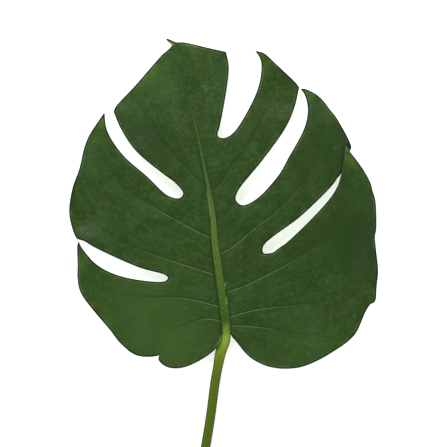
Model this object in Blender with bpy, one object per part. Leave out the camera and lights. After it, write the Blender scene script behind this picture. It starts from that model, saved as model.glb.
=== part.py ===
"""A cut monstera leaf laid face up on a flat surface: its blade and its stalk.

All lengths below are in millimetres. Points in plan are measured from the blade base,
the place where the stalk meets the blade: x to the right, y towards the drip tip.
The part's own origin is under the middle of the whole leaf, on the surface it lies on.
"""
import math

import bpy
import numpy as np
from mathutils.geometry import delaunay_2d_cdt
from mathutils.kdtree import KDTree

# Driving dimensions
METRES = 0.001
BLADE_BASE = (3.4, -66.5)
BLADE_THICKNESS = 0.75
JOINT_GAP = 0.3

# The blade stands over the surface as a low dome that ends at its margin
DOME_CENTRE = (-3.0, 125.0)
DOME_HEIGHT = 14.0
DOME_POWER = 2.2
MARGIN_STAND = 1.6
REACH_STEP = math.radians(10.0)
BASE_LIFT = 6.0
BASE_LIFT_RADIUS = 30.0
OVER_STALK_LIFT = 2.2
OVER_STALK_RADIUS = 8.0
OVER_STALK_CENTRE = (-11.0, -12.0)
TIP_LIFT = 1.5
TIP_LIFT_RADIUS = 25.0
SOFT_CONTACT = 1.0

# Places where the blade lies on the surface: their flat radius, and how wide it bends up
RESTING_SPOTS = ((-146.0, 126.0), (-110.0, 6.0), (114.0, 0.0), (61.0, 245.0))
SPOT_RADIUS = 9.0
SPOT_REACH = 34.0
SPOT_PRESS = 1.01

# Waves round the margin: how many, how high and where they start
MARGIN_WAVES = ((4, 2.2, 0.4), (7, 2.2, 2.1), (11, 1.2, 0.9))
EDGE_ROLL = 1.6
EDGE_ROLL_WIDTH = 7.0
EDGE_ROLL_FULL = 30.0

# Relief: the blade swells between its veins, which lie in grooves
QUILT_RISE = 1.3
QUILT_WIDTH = 9.0
MIDRIB_HALF_WIDTH = ((0.0, 4.3), (60.0, 3.9), (140.0, 2.4), (220.0, 1.5), (290.0, 0.9))
MIDRIB_KEEL = ((0.0, 8.0), (60.0, 5.4), (140.0, 3.2), (220.0, 1.7), (290.0, 0.5))
MIDRIB_RIDGE = 0.55
MIDRIB_LINES = (-1.0, -0.55, 0.0, 0.55, 1.0)
VEIN_HALF_WIDTH = (1.5, 0.8)
VEIN_KEEL = (1.7, 0.3)
VEIN_GROOVE = 0.4
VEIN_START_GAP = 2.0

# Fold: the tip of the fourth right lobe lies over the corner of the third
FOLD_START = 157.5
FOLD_END = 188.0
FOLD_SHIFT = 8.5
FOLD_LIFT = 4.5
FOLD_LIFT_START = 143.0
FOLD_LIFT_END = 173.0
FOLD_DIVIDER = ((104.5, 143.0), (109.3, 150.0), (113.0, 157.5), (117.2, 165.0),
                (120.0, 169.3), (123.0, 176.8), (125.5, 184.5), (126.0, 190.0))

# Fineness of the mesh
EDGE_STEP = 6.0
EDGE_CHORD = 0.16
GRID_STEP = 6.2
GRID_CLEARANCE = 0.6
VEIN_STEP = 8.0

# Stalk: points on its way to the cut end, and its radius at lengths along it
STALK_PATH = ((-0.4, -JOINT_GAP), (-2.2, -8.0), (-5.7, -17.0), (-9.0, -33.0), (-12.1, -50.0),
              (-14.3, -67.0), (-17.0, -87.0), (-21.4, -114.0), (-28.6, -160.0))
STALK_RADIUS = ((0.0, 4.3), (8.0, 5.5), (17.0, 5.75), (27.0, 5.1), (36.0, 4.75), (170.0, 4.8))
STALK_JOINT_HEIGHT = 10.0
STALK_SETTLE = 20.0
STALK_SIDES = 20
STALK_STEP = 5.0
CHANNEL_DEPTH = 0.07
CHANNEL_START = 20.0
CHANNEL_FULL = 50.0
CHANNEL_HALF_ANGLE = 0.5
CUT_SLANT = 0.22

# Margin of the blade, anticlockwise from the drip tip. Each stretch is a smooth curve
# between two corners, and each slit is one stretch that goes in, round its end and out
SLOT_LEFT_UPPER = ((-113.7, 221.9), (-106.4, 205.0), (-91.5, 182.9), (-61.7, 157.8),
                   (-52.2, 150.8), (-43.7, 140.0), (-46.1, 135.8), (-51.0, 134.9),
                   (-60.7, 138.8), (-79.6, 156.6), (-105.1, 179.5), (-120.4, 203.8),
                   (-123.0, 221.3))
SLOT_LEFT_LOWER = ((-148.7, 93.9), (-142.8, 92.1), (-132.6, 86.1), (-87.3, 65.7),
                   (-61.3, 58.1), (-59.0, 55.2), (-62.2, 52.1), (-87.3, 53.2),
                   (-112.8, 59.3), (-131.3, 69.5), (-146.0, 86.7), (-148.6, 91.9))
SLOT_RIGHT_LOWER = ((124.2, 184.5), (113.9, 159.3), (110.4, 155.0), (105.3, 148.0),
                    (74.0, 117.4), (36.4, 87.4), (36.4, 80.4), (45.3, 80.7), (51.7, 85.2),
                    (59.4, 90.6), (107.2, 141.0), (115.3, 163.5), (118.9, 187.6))
SLOT_RIGHT_MIDDLE = ((72.4, 246.0), (68.1, 227.6), (59.1, 206.5), (36.2, 174.0),
                     (11.3, 142.8), (8.5, 134.8), (10.4, 130.6), (15.7, 128.0),
                     (29.7, 134.5), (52.1, 159.0), (61.0, 174.7), (77.6, 205.9),
                     (81.0, 224.8), (77.6, 239.7), (73.5, 245.0))
SLOT_RIGHT_UPPER = ((-0.9, 281.5), (1.8, 265.3), (-7.6, 205.6), (-9.4, 199.7),
                    (-8.8, 196.7), (-4.1, 195.0), (5.5, 199.6), (25.9, 232.5),
                    (32.9, 252.3), (34.5, 270.1), (32.3, 277.2), (28.2, 283.0))
TIP_LEFT = ((-60.5, 294.3), (-55.8, 290.4), (-54.5, 289.1), (-66.0, 277.6),
            (-92.2, 247.9), (-111.6, 226.7), (-113.7, 221.9))
TIP_RIGHT = ((-60.5, 294.3), (-51.3, 291.0), (-43.0, 290.9), (-19.0, 285.2), (-0.9, 281.5))
LOBE_LEFT_TWO = ((-123.0, 221.3), (-138.2, 198.2), (-143.1, 186.1), (-147.9, 165.6),
                 (-155.5, 143.3), (-158.1, 117.8), (-151.1, 95.5), (-148.7, 93.9))
LOBE_LEFT_THREE = ((-148.6, 91.9), (-149.8, 88.3), (-149.5, 68.2), (-149.7, 55.5),
                   (-146.5, 40.3), (-116.2, 1.4), (-107.3, -10.0), (-90.7, -22.5),
                   (-69.4, -22.9), (-67.8, -21.3))
LOBE_LEFT_FOUR = ((-67.8, -21.3), (-68.6, -27.3), (-59.6, -34.4), (-43.6, -34.4),
                  (-18.1, -21.3), (-7.9, -10.7), (-4.7, 0.0))
LOBE_RIGHT_FIVE = ((143.8, 28.9), (139.3, 21.8), (131.0, 2.7), (125.9, -4.3),
                   (111.3, -15.8), (74.0, -34.0), (45.3, -34.5), (27.4, -27.2),
                   (19.8, -21.1), (8.9, -7.7), (4.8, -2.9), (3.9, 0.0))
LOBE_RIGHT_FOUR = ((118.9, 187.6), (136.3, 164.0), (143.4, 151.2), (145.9, 142.3),
                   (148.3, 134.3), (149.5, 103.6), (148.3, 97.3), (151.6, 62.3),
                   (150.2, 47.3), (148.3, 31.4), (143.8, 28.9))
LOBE_RIGHT_THREE = ((73.5, 245.0), (78.3, 244.8), (92.3, 237.2), (103.8, 223.3),
                    (108.9, 216.9), (124.6, 187.3), (124.2, 184.5))
LOBE_RIGHT_TWO = ((28.2, 283.0), (36.8, 280.7), (49.5, 269.5), (70.6, 249.1), (72.4, 246.0))

# Stretches in order, with the ones that run the other way marked
MARGIN = ((TIP_LEFT, False), (SLOT_LEFT_UPPER, False), (LOBE_LEFT_TWO, False),
          (SLOT_LEFT_LOWER, False), (LOBE_LEFT_THREE, False), (LOBE_LEFT_FOUR, False),
          (LOBE_RIGHT_FIVE, True), (LOBE_RIGHT_FOUR, True), (SLOT_RIGHT_LOWER, True),
          (LOBE_RIGHT_THREE, True), (SLOT_RIGHT_MIDDLE, True), (LOBE_RIGHT_TWO, True),
          (SLOT_RIGHT_UPPER, True), (TIP_RIGHT, True))

MIDRIB = ((-0.4, 0.0), (-2.0, 18.0), (-5.5, 43.0), (-10.0, 75.0), (-12.6, 95.3),
          (-13.8, 114.3), (-16.8, 136.8), (-23.2, 168.0), (-29.0, 197.0),
          (-35.0, 221.3), (-41.0, 245.3), (-54.0, 285.5))

# Side veins, each from the midrib out to the edge of its lobe
SIDE_VEINS = (
    ((-19.0, 143.3), (-42.0, 165.3), (-80.0, 213.3), (-92.0, 236.3)),
    ((-12.5, 93.3), (-37.0, 105.3), (-99.0, 142.3), (-115.0, 159.3), (-125.0, 178.3),
     (-127.5, 197.3), (-124.5, 214.3)),
    ((-9.2, 57.3), (-83.0, 82.3), (-124.0, 102.3), (-141.0, 117.3), (-149.0, 133.3)),
    ((-5.5, 26.3), (-40.5, 34.3), (-109.0, 37.8), (-127.0, 43.3), (-141.0, 54.3)),
    ((-3.0, 11.3), (-20.0, 14.4), (-46.2, 6.7), (-55.5, 3.8), (-62.0, -3.7), (-65.0, -13.0)),
    ((-18.0, 138.3), (-4.7, 150.8), (4.0, 165.3), (24.0, 191.0), (44.0, 243.3),
     (43.0, 261.3), (36.0, 276.3)),
    ((-10.5, 77.3), (5.4, 86.1), (29.4, 105.9), (55.0, 126.3), (81.0, 158.3),
     (91.0, 181.3), (94.0, 203.3), (90.0, 223.3), (82.0, 236.3)),
    ((-5.5, 39.3), (16.0, 46.5), (43.0, 59.8), (65.3, 71.7), (101.0, 97.3),
     (117.0, 118.3), (125.0, 140.3), (125.5, 161.3), (121.5, 177.3)),
    ((-3.0, 14.8), (28.8, 23.3), (101.7, 33.3), (125.0, 47.3), (137.0, 61.3), (144.0, 78.3)),
    ((-1.0, 6.8), (12.0, 7.5), (42.0, 4.6), (81.0, -1.7), (101.0, 0.8), (119.0, 10.3)),
)

# Colours and gloss, as the photograph shows them
BLADE_COLOUR = (0.034, 0.082, 0.021, 1.0)
BLADE_ROUGHNESS = 0.42
STALK_COLOUR = (0.112, 0.205, 0.022, 1.0)
STALK_ROUGHNESS = 0.5
SHARP_ANGLE = math.radians(50.0)


# Curves and small formulas

def smooth_step(start, end, value):
    """0 before start, 1 after end, and a smooth rise between."""
    t = np.clip((value - start) / (end - start), 0.0, 1.0)
    return t * t * (3.0 - 2.0 * t)


def read_table(table, value):
    """Read a table of (place, size) pairs at any place between them."""
    places, sizes = zip(*table)
    return np.interp(value, places, sizes)


def curve_through(points, steps=24):
    """Close-set points on a smooth curve through the given ones (centripetal)."""
    p = np.asarray(points, float)
    p = np.vstack([2 * p[0] - p[1], p, 2 * p[-1] - p[-2]])
    run = []
    for p0, p1, p2, p3 in zip(p[:-3], p[1:-2], p[2:-1], p[3:]):
        t1 = math.sqrt(np.linalg.norm(p1 - p0))
        t2 = t1 + math.sqrt(np.linalg.norm(p2 - p1))
        t3 = t2 + math.sqrt(np.linalg.norm(p3 - p2))
        t = np.linspace(t1, t2, steps, endpoint=False)[:, None]
        a1 = (t1 - t) / t1 * p0 + t / t1 * p1
        a2 = (t2 - t) / (t2 - t1) * p1 + (t - t1) / (t2 - t1) * p2
        a3 = (t3 - t) / (t3 - t2) * p2 + (t - t2) / (t3 - t2) * p3
        b1 = (t2 - t) / t2 * a1 + t / t2 * a2
        b2 = (t3 - t) / (t3 - t1) * a2 + (t - t1) / (t3 - t1) * a3
        run.append((t2 - t) / (t2 - t1) * b1 + (t - t1) / (t2 - t1) * b2)
    run.append(p[-2:-1])
    return np.vstack(run)


def spaced(curve, longest, chord):
    """Fewer points on the same curve: far apart where it is straight, close round bends."""
    step = np.diff(curve, axis=0)
    length = np.hypot(step[:, 0], step[:, 1])
    heading = np.unwrap(np.arctan2(step[:, 1], step[:, 0]))
    bend = np.zeros(len(curve))
    bend[1:-1] = np.abs(np.diff(heading)) / (0.5 * (length[1:] + length[:-1]))
    bend = np.convolve(np.pad(bend, 3, mode="edge"), np.ones(7) / 7, mode="valid")
    density = np.maximum(1.0 / longest, np.sqrt(bend / (8.0 * chord)))
    share = np.concatenate([[0.0], np.cumsum(0.5 * (density[1:] + density[:-1]) * length)])
    count = max(1, math.ceil(share[-1]))
    wanted = np.linspace(0.0, share[-1], count + 1)
    return np.column_stack([np.interp(wanted, share, curve[:, k]) for k in (0, 1)])


def distance_along(curve, points):
    """Distance of each point to a curve, and how far along it the nearest place is, 0 to 1."""
    a, b = curve[:-1], curve[1:]
    ab = b - a
    length = np.hypot(ab[:, 0], ab[:, 1])
    before = np.concatenate([[0.0], np.cumsum(length)])
    best = np.full(len(points), np.inf)
    along = np.zeros(len(points))
    for k in range(len(a)):
        t = np.clip(((points - a[k]) @ ab[k]) / (length[k] ** 2), 0.0, 1.0)
        gap = np.hypot(*(points - a[k] - t[:, None] * ab[k]).T)
        nearer = gap < best
        best[nearer] = gap[nearer]
        along[nearer] = (before[k] + t[nearer] * length[k]) / before[-1]
    return best, along


# The fold of the fourth right lobe: flat pattern to true place

def fold_shift(y):
    """How far the flat pattern holds the lobe aside at height y."""
    t = np.clip((y - FOLD_START) / (FOLD_END - FOLD_START), 0.0, 1.0)
    return FOLD_SHIFT * (1.0 - (1.0 - t) ** 2)


def on_folded_lobe(flat):
    """1 for points of the flat pattern on the fourth right lobe, near its tip."""
    divider = np.array(FOLD_DIVIDER)
    edge = np.interp(flat[:, 1], divider[:, 1], divider[:, 0])
    return ((flat[:, 0] > edge) & (flat[:, 1] > divider[0, 1])).astype(float)


def true_place(flat):
    """Plan position of points of the flat pattern, with the lobe laid over its neighbour."""
    place = flat.copy()
    place[:, 0] -= on_folded_lobe(flat) * fold_shift(flat[:, 1])
    return place


# The flat pattern: outline, veins and triangles

def margin_outline(longest, chord):
    """The whole margin in the flat pattern, anticlockwise, as one closed loop."""
    loop = []
    for stretch, backwards in MARGIN:
        curve = curve_through(stretch)
        if stretch is LOBE_RIGHT_FOUR:
            curve[:, 0] += fold_shift(curve[:, 1])
        if stretch is SLOT_RIGHT_LOWER:
            inner = int(np.argmin(curve[:, 0]))
            curve[inner:, 0] += fold_shift(curve[inner:, 1])
        points = spaced(curve, longest, chord)
        if backwards:
            points = points[::-1]
        loop.extend(points[:-1])
        if stretch is LOBE_LEFT_FOUR:
            loop.extend(base_line())
    return np.array(loop)


def base_line():
    """Points across the end of the midrib, where the stalk meets it."""
    half = read_table(MIDRIB_HALF_WIDTH, 0.0)
    return [np.array([MIDRIB[0][0] + k * half, 0.0]) for k in MIDRIB_LINES[:-1]]


def midrib_lines(step):
    """Lines along the midrib: its middle, its shoulders and its two sides."""
    middle = spaced(curve_through(MIDRIB), step, 1.0)
    half = read_table(MIDRIB_HALF_WIDTH, middle[:, 1])
    return [np.column_stack([middle[:, 0] + k * half, middle[:, 1]]) for k in MIDRIB_LINES]


def side_vein_lines(step):
    """Lines along each side vein: its middle and its two sides."""
    middle = curve_through(MIDRIB)
    lines = []
    for vein in SIDE_VEINS:
        curve = spaced(curve_through(vein), step, 0.5)
        if curve[-1, 1] > FOLD_START and curve[-1, 0] > FOLD_DIVIDER[0][0]:
            curve[:, 0] += fold_shift(curve[:, 1])
        gap, _ = distance_along(middle, curve)
        clear = gap > read_table(MIDRIB_HALF_WIDTH, curve[:, 1]) + VEIN_START_GAP
        curve = curve[clear]
        heading = np.gradient(curve, axis=0)
        heading /= np.linalg.norm(heading, axis=1)[:, None]
        side = np.column_stack([-heading[:, 1], heading[:, 0]])
        share = np.linspace(0.0, 1.0, len(curve))[:, None]
        half = VEIN_HALF_WIDTH[0] + (VEIN_HALF_WIDTH[1] - VEIN_HALF_WIDTH[0]) * share
        lines += [curve + side * half * k for k in (-1.0, 0.0, 1.0)]
    return lines


def inside(loop, points):
    """True for each point that lies inside the closed loop."""
    odd = np.zeros(len(points), bool)
    for a, b in zip(loop, np.roll(loop, -1, axis=0)):
        crosses = (a[1] > points[:, 1]) != (b[1] > points[:, 1])
        if crosses.any():
            x = a[0] + (points[crosses, 1] - a[1]) * (b[0] - a[0]) / (b[1] - a[1])
            odd[crosses] ^= points[crosses, 0] < x
    return odd


def nearest_distance(marks, points):
    """Distance from each point to the nearest of the marks."""
    tree = KDTree(len(marks))
    for k, mark in enumerate(marks):
        tree.insert((mark[0], mark[1], 0.0), k)
    tree.balance()
    return np.array([tree.find((p[0], p[1], 0.0))[2] for p in points])


def triangular_grid(low, high, step):
    """Evenly set points in staggered rows between two corners."""
    row_step = step * math.sqrt(0.75)
    points = []
    for row, y in enumerate(np.arange(low[1], high[1], row_step)):
        xs = np.arange(low[0] + 0.5 * step * (row % 2), high[0], step)
        points.append(np.column_stack([xs, np.full(len(xs), y)]))
    return np.vstack(points)


def close_set(line, step=0.8):
    """Points close together along a line of straight pieces."""
    length = np.concatenate([[0.0], np.cumsum(np.hypot(*np.diff(line, axis=0).T))])
    wanted = np.arange(0.0, length[-1], step)
    return np.column_stack([np.interp(wanted, length, line[:, k]) for k in (0, 1)])


def flat_pattern():
    """Points and triangles of the blade, opened out flat."""
    loop = margin_outline(EDGE_STEP, EDGE_CHORD)
    lines = midrib_lines(VEIN_STEP) + side_vein_lines(VEIN_STEP)
    grid = triangular_grid(loop.min(axis=0), loop.max(axis=0), GRID_STEP)
    grid = grid[inside(loop, grid)]
    marks = [close_set(np.vstack([loop, loop[:1]]))] + [close_set(line) for line in lines]
    grid = grid[nearest_distance(np.vstack(marks), grid) > GRID_CLEARANCE * GRID_STEP]

    points = [tuple(p) for p in loop]
    edges = [(k, (k + 1) % len(loop)) for k in range(len(loop))]
    for line in lines:
        first = len(points)
        points += [tuple(p) for p in line]
        edges += [(first + k, first + k + 1) for k in range(len(line) - 1)]
    points += [tuple(p) for p in grid]
    found, _, triangles, _, _, _ = delaunay_2d_cdt(points, edges, [], 1, 1e-4)
    return np.array([tuple(p) for p in found]), [tuple(t) for t in triangles]


# Height of the blade over the surface

def polar(place):
    """Distance and direction of each place from the middle of the dome."""
    away = place - DOME_CENTRE
    return np.hypot(away[:, 0], away[:, 1]), np.arctan2(away[:, 1], away[:, 0])


def margin_reach(loop):
    """How far the margin reaches from the middle of the dome, in every direction."""
    distance, turn = polar(true_place(loop))
    turns = np.arange(-math.pi, math.pi, REACH_STEP)
    apart = np.abs(np.angle(np.exp(1j * (turn[None, :] - turns[:, None]))))
    reach = np.where(apart < 1.3 * REACH_STEP, distance[None, :], 0.0).max(axis=1)
    for _ in range(2):
        reach = 0.25 * (np.roll(reach, 1) + 2.0 * reach + np.roll(reach, -1))
    return turns, reach


def dome(place, loop):
    """Height of the dome, with the lifts at the blade base and at the drip tip."""
    distance, turn = polar(place)
    turns, reach = margin_reach(loop)
    out = distance / np.interp(turn, turns, reach, period=2.0 * math.pi)
    height = MARGIN_STAND + DOME_HEIGHT * (1.0 - out ** DOME_POWER)
    from_base = (place ** 2).sum(axis=1)
    height += BASE_LIFT * np.exp(-from_base / (2.0 * BASE_LIFT_RADIUS ** 2))
    from_stalk = ((place - OVER_STALK_CENTRE) ** 2).sum(axis=1)
    height += OVER_STALK_LIFT * np.exp(-from_stalk / (2.0 * OVER_STALK_RADIUS ** 2))
    from_tip = ((place - TIP_LEFT[0]) ** 2).sum(axis=1)
    height += TIP_LIFT * np.exp(-from_tip / (2.0 * TIP_LIFT_RADIUS ** 2))
    for number, rise, start in MARGIN_WAVES:
        height += rise * out ** 3 * np.sin(number * turn + start)
    return height


def settle(height, place):
    """Bring the blade down to the surface at each of its resting spots."""
    for spot in RESTING_SPOTS:
        away = np.hypot(*(place - spot).T)
        free = smooth_step(SPOT_RADIUS, SPOT_REACH, away)
        height = free * height - (1.0 - free) * SPOT_PRESS
    return height


def touch_down(height):
    """Lay flat on the surface whatever would hang below it, with a soft bend before it."""
    low = np.clip(height + SOFT_CONTACT, 0.0, None)
    bend = low ** 2 / (4.0 * SOFT_CONTACT)
    return np.where(height > SOFT_CONTACT, height, bend)


def blade_surfaces(flat, loop):
    """Heights of the lower and upper faces at each point of the flat pattern."""
    place = true_place(flat)
    middle = curve_through(MIDRIB)
    from_edge = nearest_distance(close_set(np.vstack([loop, loop[:1]])), flat)
    from_midrib, _ = distance_along(middle, place)
    half = read_table(MIDRIB_HALF_WIDTH, place[:, 1])
    across = np.clip(from_midrib / half, 0.0, 1.0)
    keel = read_table(MIDRIB_KEEL, place[:, 1]) * np.sqrt(1.0 - across ** 2)
    ridge = MIDRIB_RIDGE * (1.0 - across ** 2)
    nearest_vein = np.clip(from_midrib - half, 0.0, None)

    for vein in SIDE_VEINS:
        gap, along = distance_along(curve_through(vein, 8), place)
        width = VEIN_HALF_WIDTH[0] + (VEIN_HALF_WIDTH[1] - VEIN_HALF_WIDTH[0]) * along
        depth = VEIN_KEEL[0] + (VEIN_KEEL[1] - VEIN_KEEL[0]) * along
        bulge = np.clip(1.0 - (gap / width) ** 2, 0.0, 1.0)
        keel = np.maximum(keel, depth * bulge)
        ridge -= VEIN_GROOVE * bulge * (1.0 - along) * (from_midrib > half)
        nearest_vein = np.minimum(nearest_vein, gap)

    sheet = dome(place, loop)
    sheet += QUILT_RISE * (1.0 - np.exp(-(nearest_vein / QUILT_WIDTH) ** 2)) - QUILT_RISE
    roll = EDGE_ROLL * smooth_step(0.0, EDGE_ROLL_FULL, from_midrib)
    sheet -= roll * np.exp(-from_edge / EDGE_ROLL_WIDTH)
    sheet = settle(sheet, place)
    lift = FOLD_LIFT * smooth_step(FOLD_LIFT_START, FOLD_LIFT_END, flat[:, 1])
    lift *= on_folded_lobe(flat)
    upper = touch_down(sheet) + lift + BLADE_THICKNESS + ridge
    lower = touch_down(sheet - keel) + lift
    return place, lower, upper


# Meshes

def in_frame(place, height):
    """Corner points in metres in the part's own frame."""
    x = place[:, 0] + BLADE_BASE[0]
    y = place[:, 1] + BLADE_BASE[1]
    return np.column_stack([x, y, height]) * METRES


def closed_sheet(triangles, count):
    """Faces of a sheet whose upper points come first and whose lower points follow."""
    faces = list(triangles)
    faces += [(c + count, b + count, a + count) for a, b, c in triangles]
    edges = {(t[k], t[(k + 1) % 3]) for t in triangles for k in range(3)}
    for a, b in sorted(edges):
        if (b, a) not in edges:
            faces.append((a, a + count, b + count))
            faces.append((a, b + count, b))
    return faces


def add_object(name, points, faces, colour, roughness):
    """Make one mesh object with its own material."""
    mesh = bpy.data.meshes.new(name)
    mesh.from_pydata([tuple(p) for p in points], [], faces)
    mesh.validate()
    mesh.shade_smooth()
    mesh.set_sharp_from_angle(angle=SHARP_ANGLE)
    material = bpy.data.materials.new(name + "_surface")
    material.use_nodes = True
    shader = material.node_tree.nodes["Principled BSDF"]
    shader.inputs["Base Color"].default_value = colour
    shader.inputs["Roughness"].default_value = roughness
    shader.inputs["Metallic"].default_value = 0.0
    mesh.materials.append(material)
    made = bpy.data.objects.new(name, mesh)
    bpy.context.scene.collection.objects.link(made)
    return made


def make_blade():
    """The blade: one closed sheet with the same triangles on both faces."""
    flat, triangles = flat_pattern()
    loop = margin_outline(EDGE_STEP, EDGE_CHORD)
    place, lower, upper = blade_surfaces(flat, loop)
    points = np.vstack([in_frame(place, upper), in_frame(place, lower)])
    faces = closed_sheet(triangles, len(flat))
    return add_object("leaf_blade", points, faces, BLADE_COLOUR, BLADE_ROUGHNESS)


def stalk_stations():
    """Middle, heading and radius of the stalk at even steps along it."""
    curve = curve_through(STALK_PATH)
    length = np.concatenate([[0.0], np.cumsum(np.hypot(*np.diff(curve, axis=0).T))])
    count = round(length[-1] / STALK_STEP)
    wanted = np.linspace(0.0, length[-1], count + 1)
    middle = np.column_stack([np.interp(wanted, length, curve[:, k]) for k in (0, 1)])
    heading = np.gradient(middle, axis=0)
    heading /= np.linalg.norm(heading, axis=1)[:, None]
    heading[0] = (0.0, -1.0)
    return wanted, middle, heading, read_table(STALK_RADIUS, wanted)


def make_stalk():
    """The stalk: a round rod that lies on the surface, with a knee at the blade."""
    along, middle, heading, radius = stalk_stations()
    settle = 1.0 - smooth_step(0.0, STALK_SETTLE, along)
    height = radius + settle * (STALK_JOINT_HEIGHT - radius)
    turn = np.linspace(0.0, 2.0 * math.pi, STALK_SIDES, endpoint=False) - 0.5 * math.pi
    from_top = np.abs(np.angle(np.exp(1j * (turn - 0.5 * math.pi))))
    channel = CHANNEL_DEPTH * np.exp(-(from_top / CHANNEL_HALF_ANGLE) ** 2)
    points = []
    for k, r in enumerate(radius):
        ring = r * (1.0 - channel * smooth_step(CHANNEL_START, CHANNEL_FULL, along[k]))
        side = np.array([-heading[k, 1], heading[k, 0]])
        slant = CUT_SLANT * (k == len(radius) - 1)
        for t, size in zip(turn, ring):
            flat = middle[k] + side * size * math.cos(t) + heading[k] * slant * size * math.sin(t)
            points.append((flat[0], flat[1], max(0.0, height[k] + size * math.sin(t))))
    points = np.array(points)
    ends = [points[:STALK_SIDES].mean(axis=0), points[-STALK_SIDES:].mean(axis=0)]
    points = np.vstack([points, ends])

    faces = []
    rings = len(radius)
    for k in range(rings - 1):
        for j in range(STALK_SIDES):
            a, b = k * STALK_SIDES + j, k * STALK_SIDES + (j + 1) % STALK_SIDES
            c, d = b + STALK_SIDES, a + STALK_SIDES
            faces += [(a, b, c), (a, c, d)]
    first, last = len(points) - 2, len(points) - 1
    start = (rings - 1) * STALK_SIDES
    for j in range(STALK_SIDES):
        after = (j + 1) % STALK_SIDES
        faces.append((first, after, j))
        faces.append((last, start + j, start + after))
    placed = in_frame(points[:, :2], points[:, 2])
    return add_object("petiole", placed, faces, STALK_COLOUR, STALK_ROUGHNESS)


def main():
    for old in list(bpy.data.objects):
        bpy.data.objects.remove(old)
    make_blade()
    make_stalk()


main()
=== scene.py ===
import math

import bpy
import numpy as np
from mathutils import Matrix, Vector
from mathutils.geometry import delaunay_2d_cdt
from mathutils.kdtree import KDTree


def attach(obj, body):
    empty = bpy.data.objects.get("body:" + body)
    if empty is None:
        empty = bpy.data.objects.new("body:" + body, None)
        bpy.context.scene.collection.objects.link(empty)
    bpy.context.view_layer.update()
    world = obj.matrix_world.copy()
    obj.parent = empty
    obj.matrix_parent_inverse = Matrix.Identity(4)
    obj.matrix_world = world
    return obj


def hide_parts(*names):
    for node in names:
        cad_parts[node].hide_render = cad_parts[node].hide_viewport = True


# The finished look of a cut monstera leaf laid face up: its blade and its stalk.
# Lengths are in millimetres. Points in plan are measured from the blade base, the place
# where the stalk meets the blade: x to the right, y towards the drip tip.

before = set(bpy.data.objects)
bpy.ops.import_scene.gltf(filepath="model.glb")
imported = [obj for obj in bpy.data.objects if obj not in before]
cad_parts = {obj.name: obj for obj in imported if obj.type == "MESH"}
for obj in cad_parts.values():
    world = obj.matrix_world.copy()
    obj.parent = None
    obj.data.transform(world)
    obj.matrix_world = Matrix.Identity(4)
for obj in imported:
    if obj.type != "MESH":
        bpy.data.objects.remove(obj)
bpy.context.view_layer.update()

METRES = 0.001
BLADE_BASE = (3.4, -66.5)

# Which points count as the midrib's end: how near its line, and how far across it
ON_LINE = 0.01
JOINT_REACH = 1.05

# The blade stands over the surface as a low dome that ends at its margin
DOME_CENTRE = (-3.0, 125.0)
DOME_HEIGHT = 14.0
DOME_POWER = 2.2
MARGIN_STAND = 1.6
REACH_STEP = math.radians(10.0)
REACH_SECTOR = 1.3 * REACH_STEP
REACH_BLURS = 2
SOFT_CONTACT = 1.0

# Soft lifts of the dome at the blade base, over the stalk and at the drip tip: place,
# radius and height
LIFTS = (((0, 0), 30, 6.0), ((-11, -12), 8, 2.2), ((-60.9, 294.1), 25, 1.5))

# Places where the blade lies on the surface: their flat radius, and how wide it bends up
RESTING_SPOTS = ((-146, 126), (-110, 6), (114, 0), (61, 245))
SPOT_RADIUS = 9.0
SPOT_REACH = 34.0
SPOT_PRESS = 1.01

# Waves round the margin: how many, how high and where they start
MARGIN_WAVES = ((4, 2.2, 0.4), (7, 2.2, 2.1), (11, 1.2, 0.9))
MARGIN_WAVE_POWER = 3
EDGE_ROLL = 1.6
EDGE_ROLL_WIDTH = 7.0
EDGE_ROLL_FULL = 30.0

# Relief: the blade swells between its veins, which lie in grooves
QUILT_RISE = 1.3
QUILT_WIDTH = 9.0
MIDRIB_HALF_WIDTH = ((0.0, 4.3), (60.0, 3.9), (140.0, 2.4), (220.0, 1.5), (290.0, 0.9))
MIDRIB_KEEL = ((0.0, 8.0), (60.0, 5.4), (140.0, 3.2), (220.0, 1.7), (290.0, 0.5))
VEIN_HALF_WIDTH = (1.5, 0.8)
VEIN_KEEL = (1.7, 0.3)

# Thickness of the blade at its margin and inside
BLADE_THICKNESS = (0.3, 0.55)
THIN_EDGE = 2.0
RIM_BULGE = 0.1

# Fine relief. Two places in brackets are where a soft change starts and ends
MIDRIB_RISE = 0.75
MIDRIB_FADE = 1.5
OFF_MIDRIB = (1.0, 1.6)
CREASE_DEPTH = 0.45
CREASE_WIDTH = 0.9
CREASE_PLACE = 1.08
CREASE_FADE = 2.5
BASE_CREASE = 1.1
BASE_CREASE_REACH = 12.0
GROOVE_DEPTH = 0.42
GROOVE_WIDTH = 2.0
VEIN_RISE = 0.24
VEIN_RISE_WIDTH = 0.5
VEIN_FADE = 0.7
SECONDARY_VEINS = 7
SECONDARY_RISE = 0.05
SECONDARY_RIB = 0.16
SECONDARY_ROOM = (2.6, 4.5)
SECONDARY_START = (1.5, 6.0)
SECONDARY_END = (0.5, 5.0)

# Uneven swellings of the blade and its margin: wavelength, rise and random seed
SWELLINGS = ((46.0, 0.2, 3), (21.0, 0.06, 5), (9.0, 0.03, 8))
SWELLING_START = (4.0, 14.0)
MARGIN_RIPPLE = (15.0, 0.35, 11)
MARGIN_RIPPLE_REACH = 9.0
MARGIN_RIPPLE_START = (30.0, 80.0)

# Fold: the tip of the fourth right lobe lies over the corner of the third
FOLD_START = 157.5
FOLD_END = 188.0
FOLD_SHIFT = 8.5
FOLD_LIFT = 4.5
FOLD_LIFT_START = 143.0
FOLD_LIFT_END = 173.0
FOLD_DIVIDER = (
    (104.5, 143.0), (109.3, 150.0), (113.0, 157.5), (117.2, 165.0), (120.0, 169.3), (123.0, 176.8),
    (125.5, 184.5), (126.0, 190.0),
)

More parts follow.
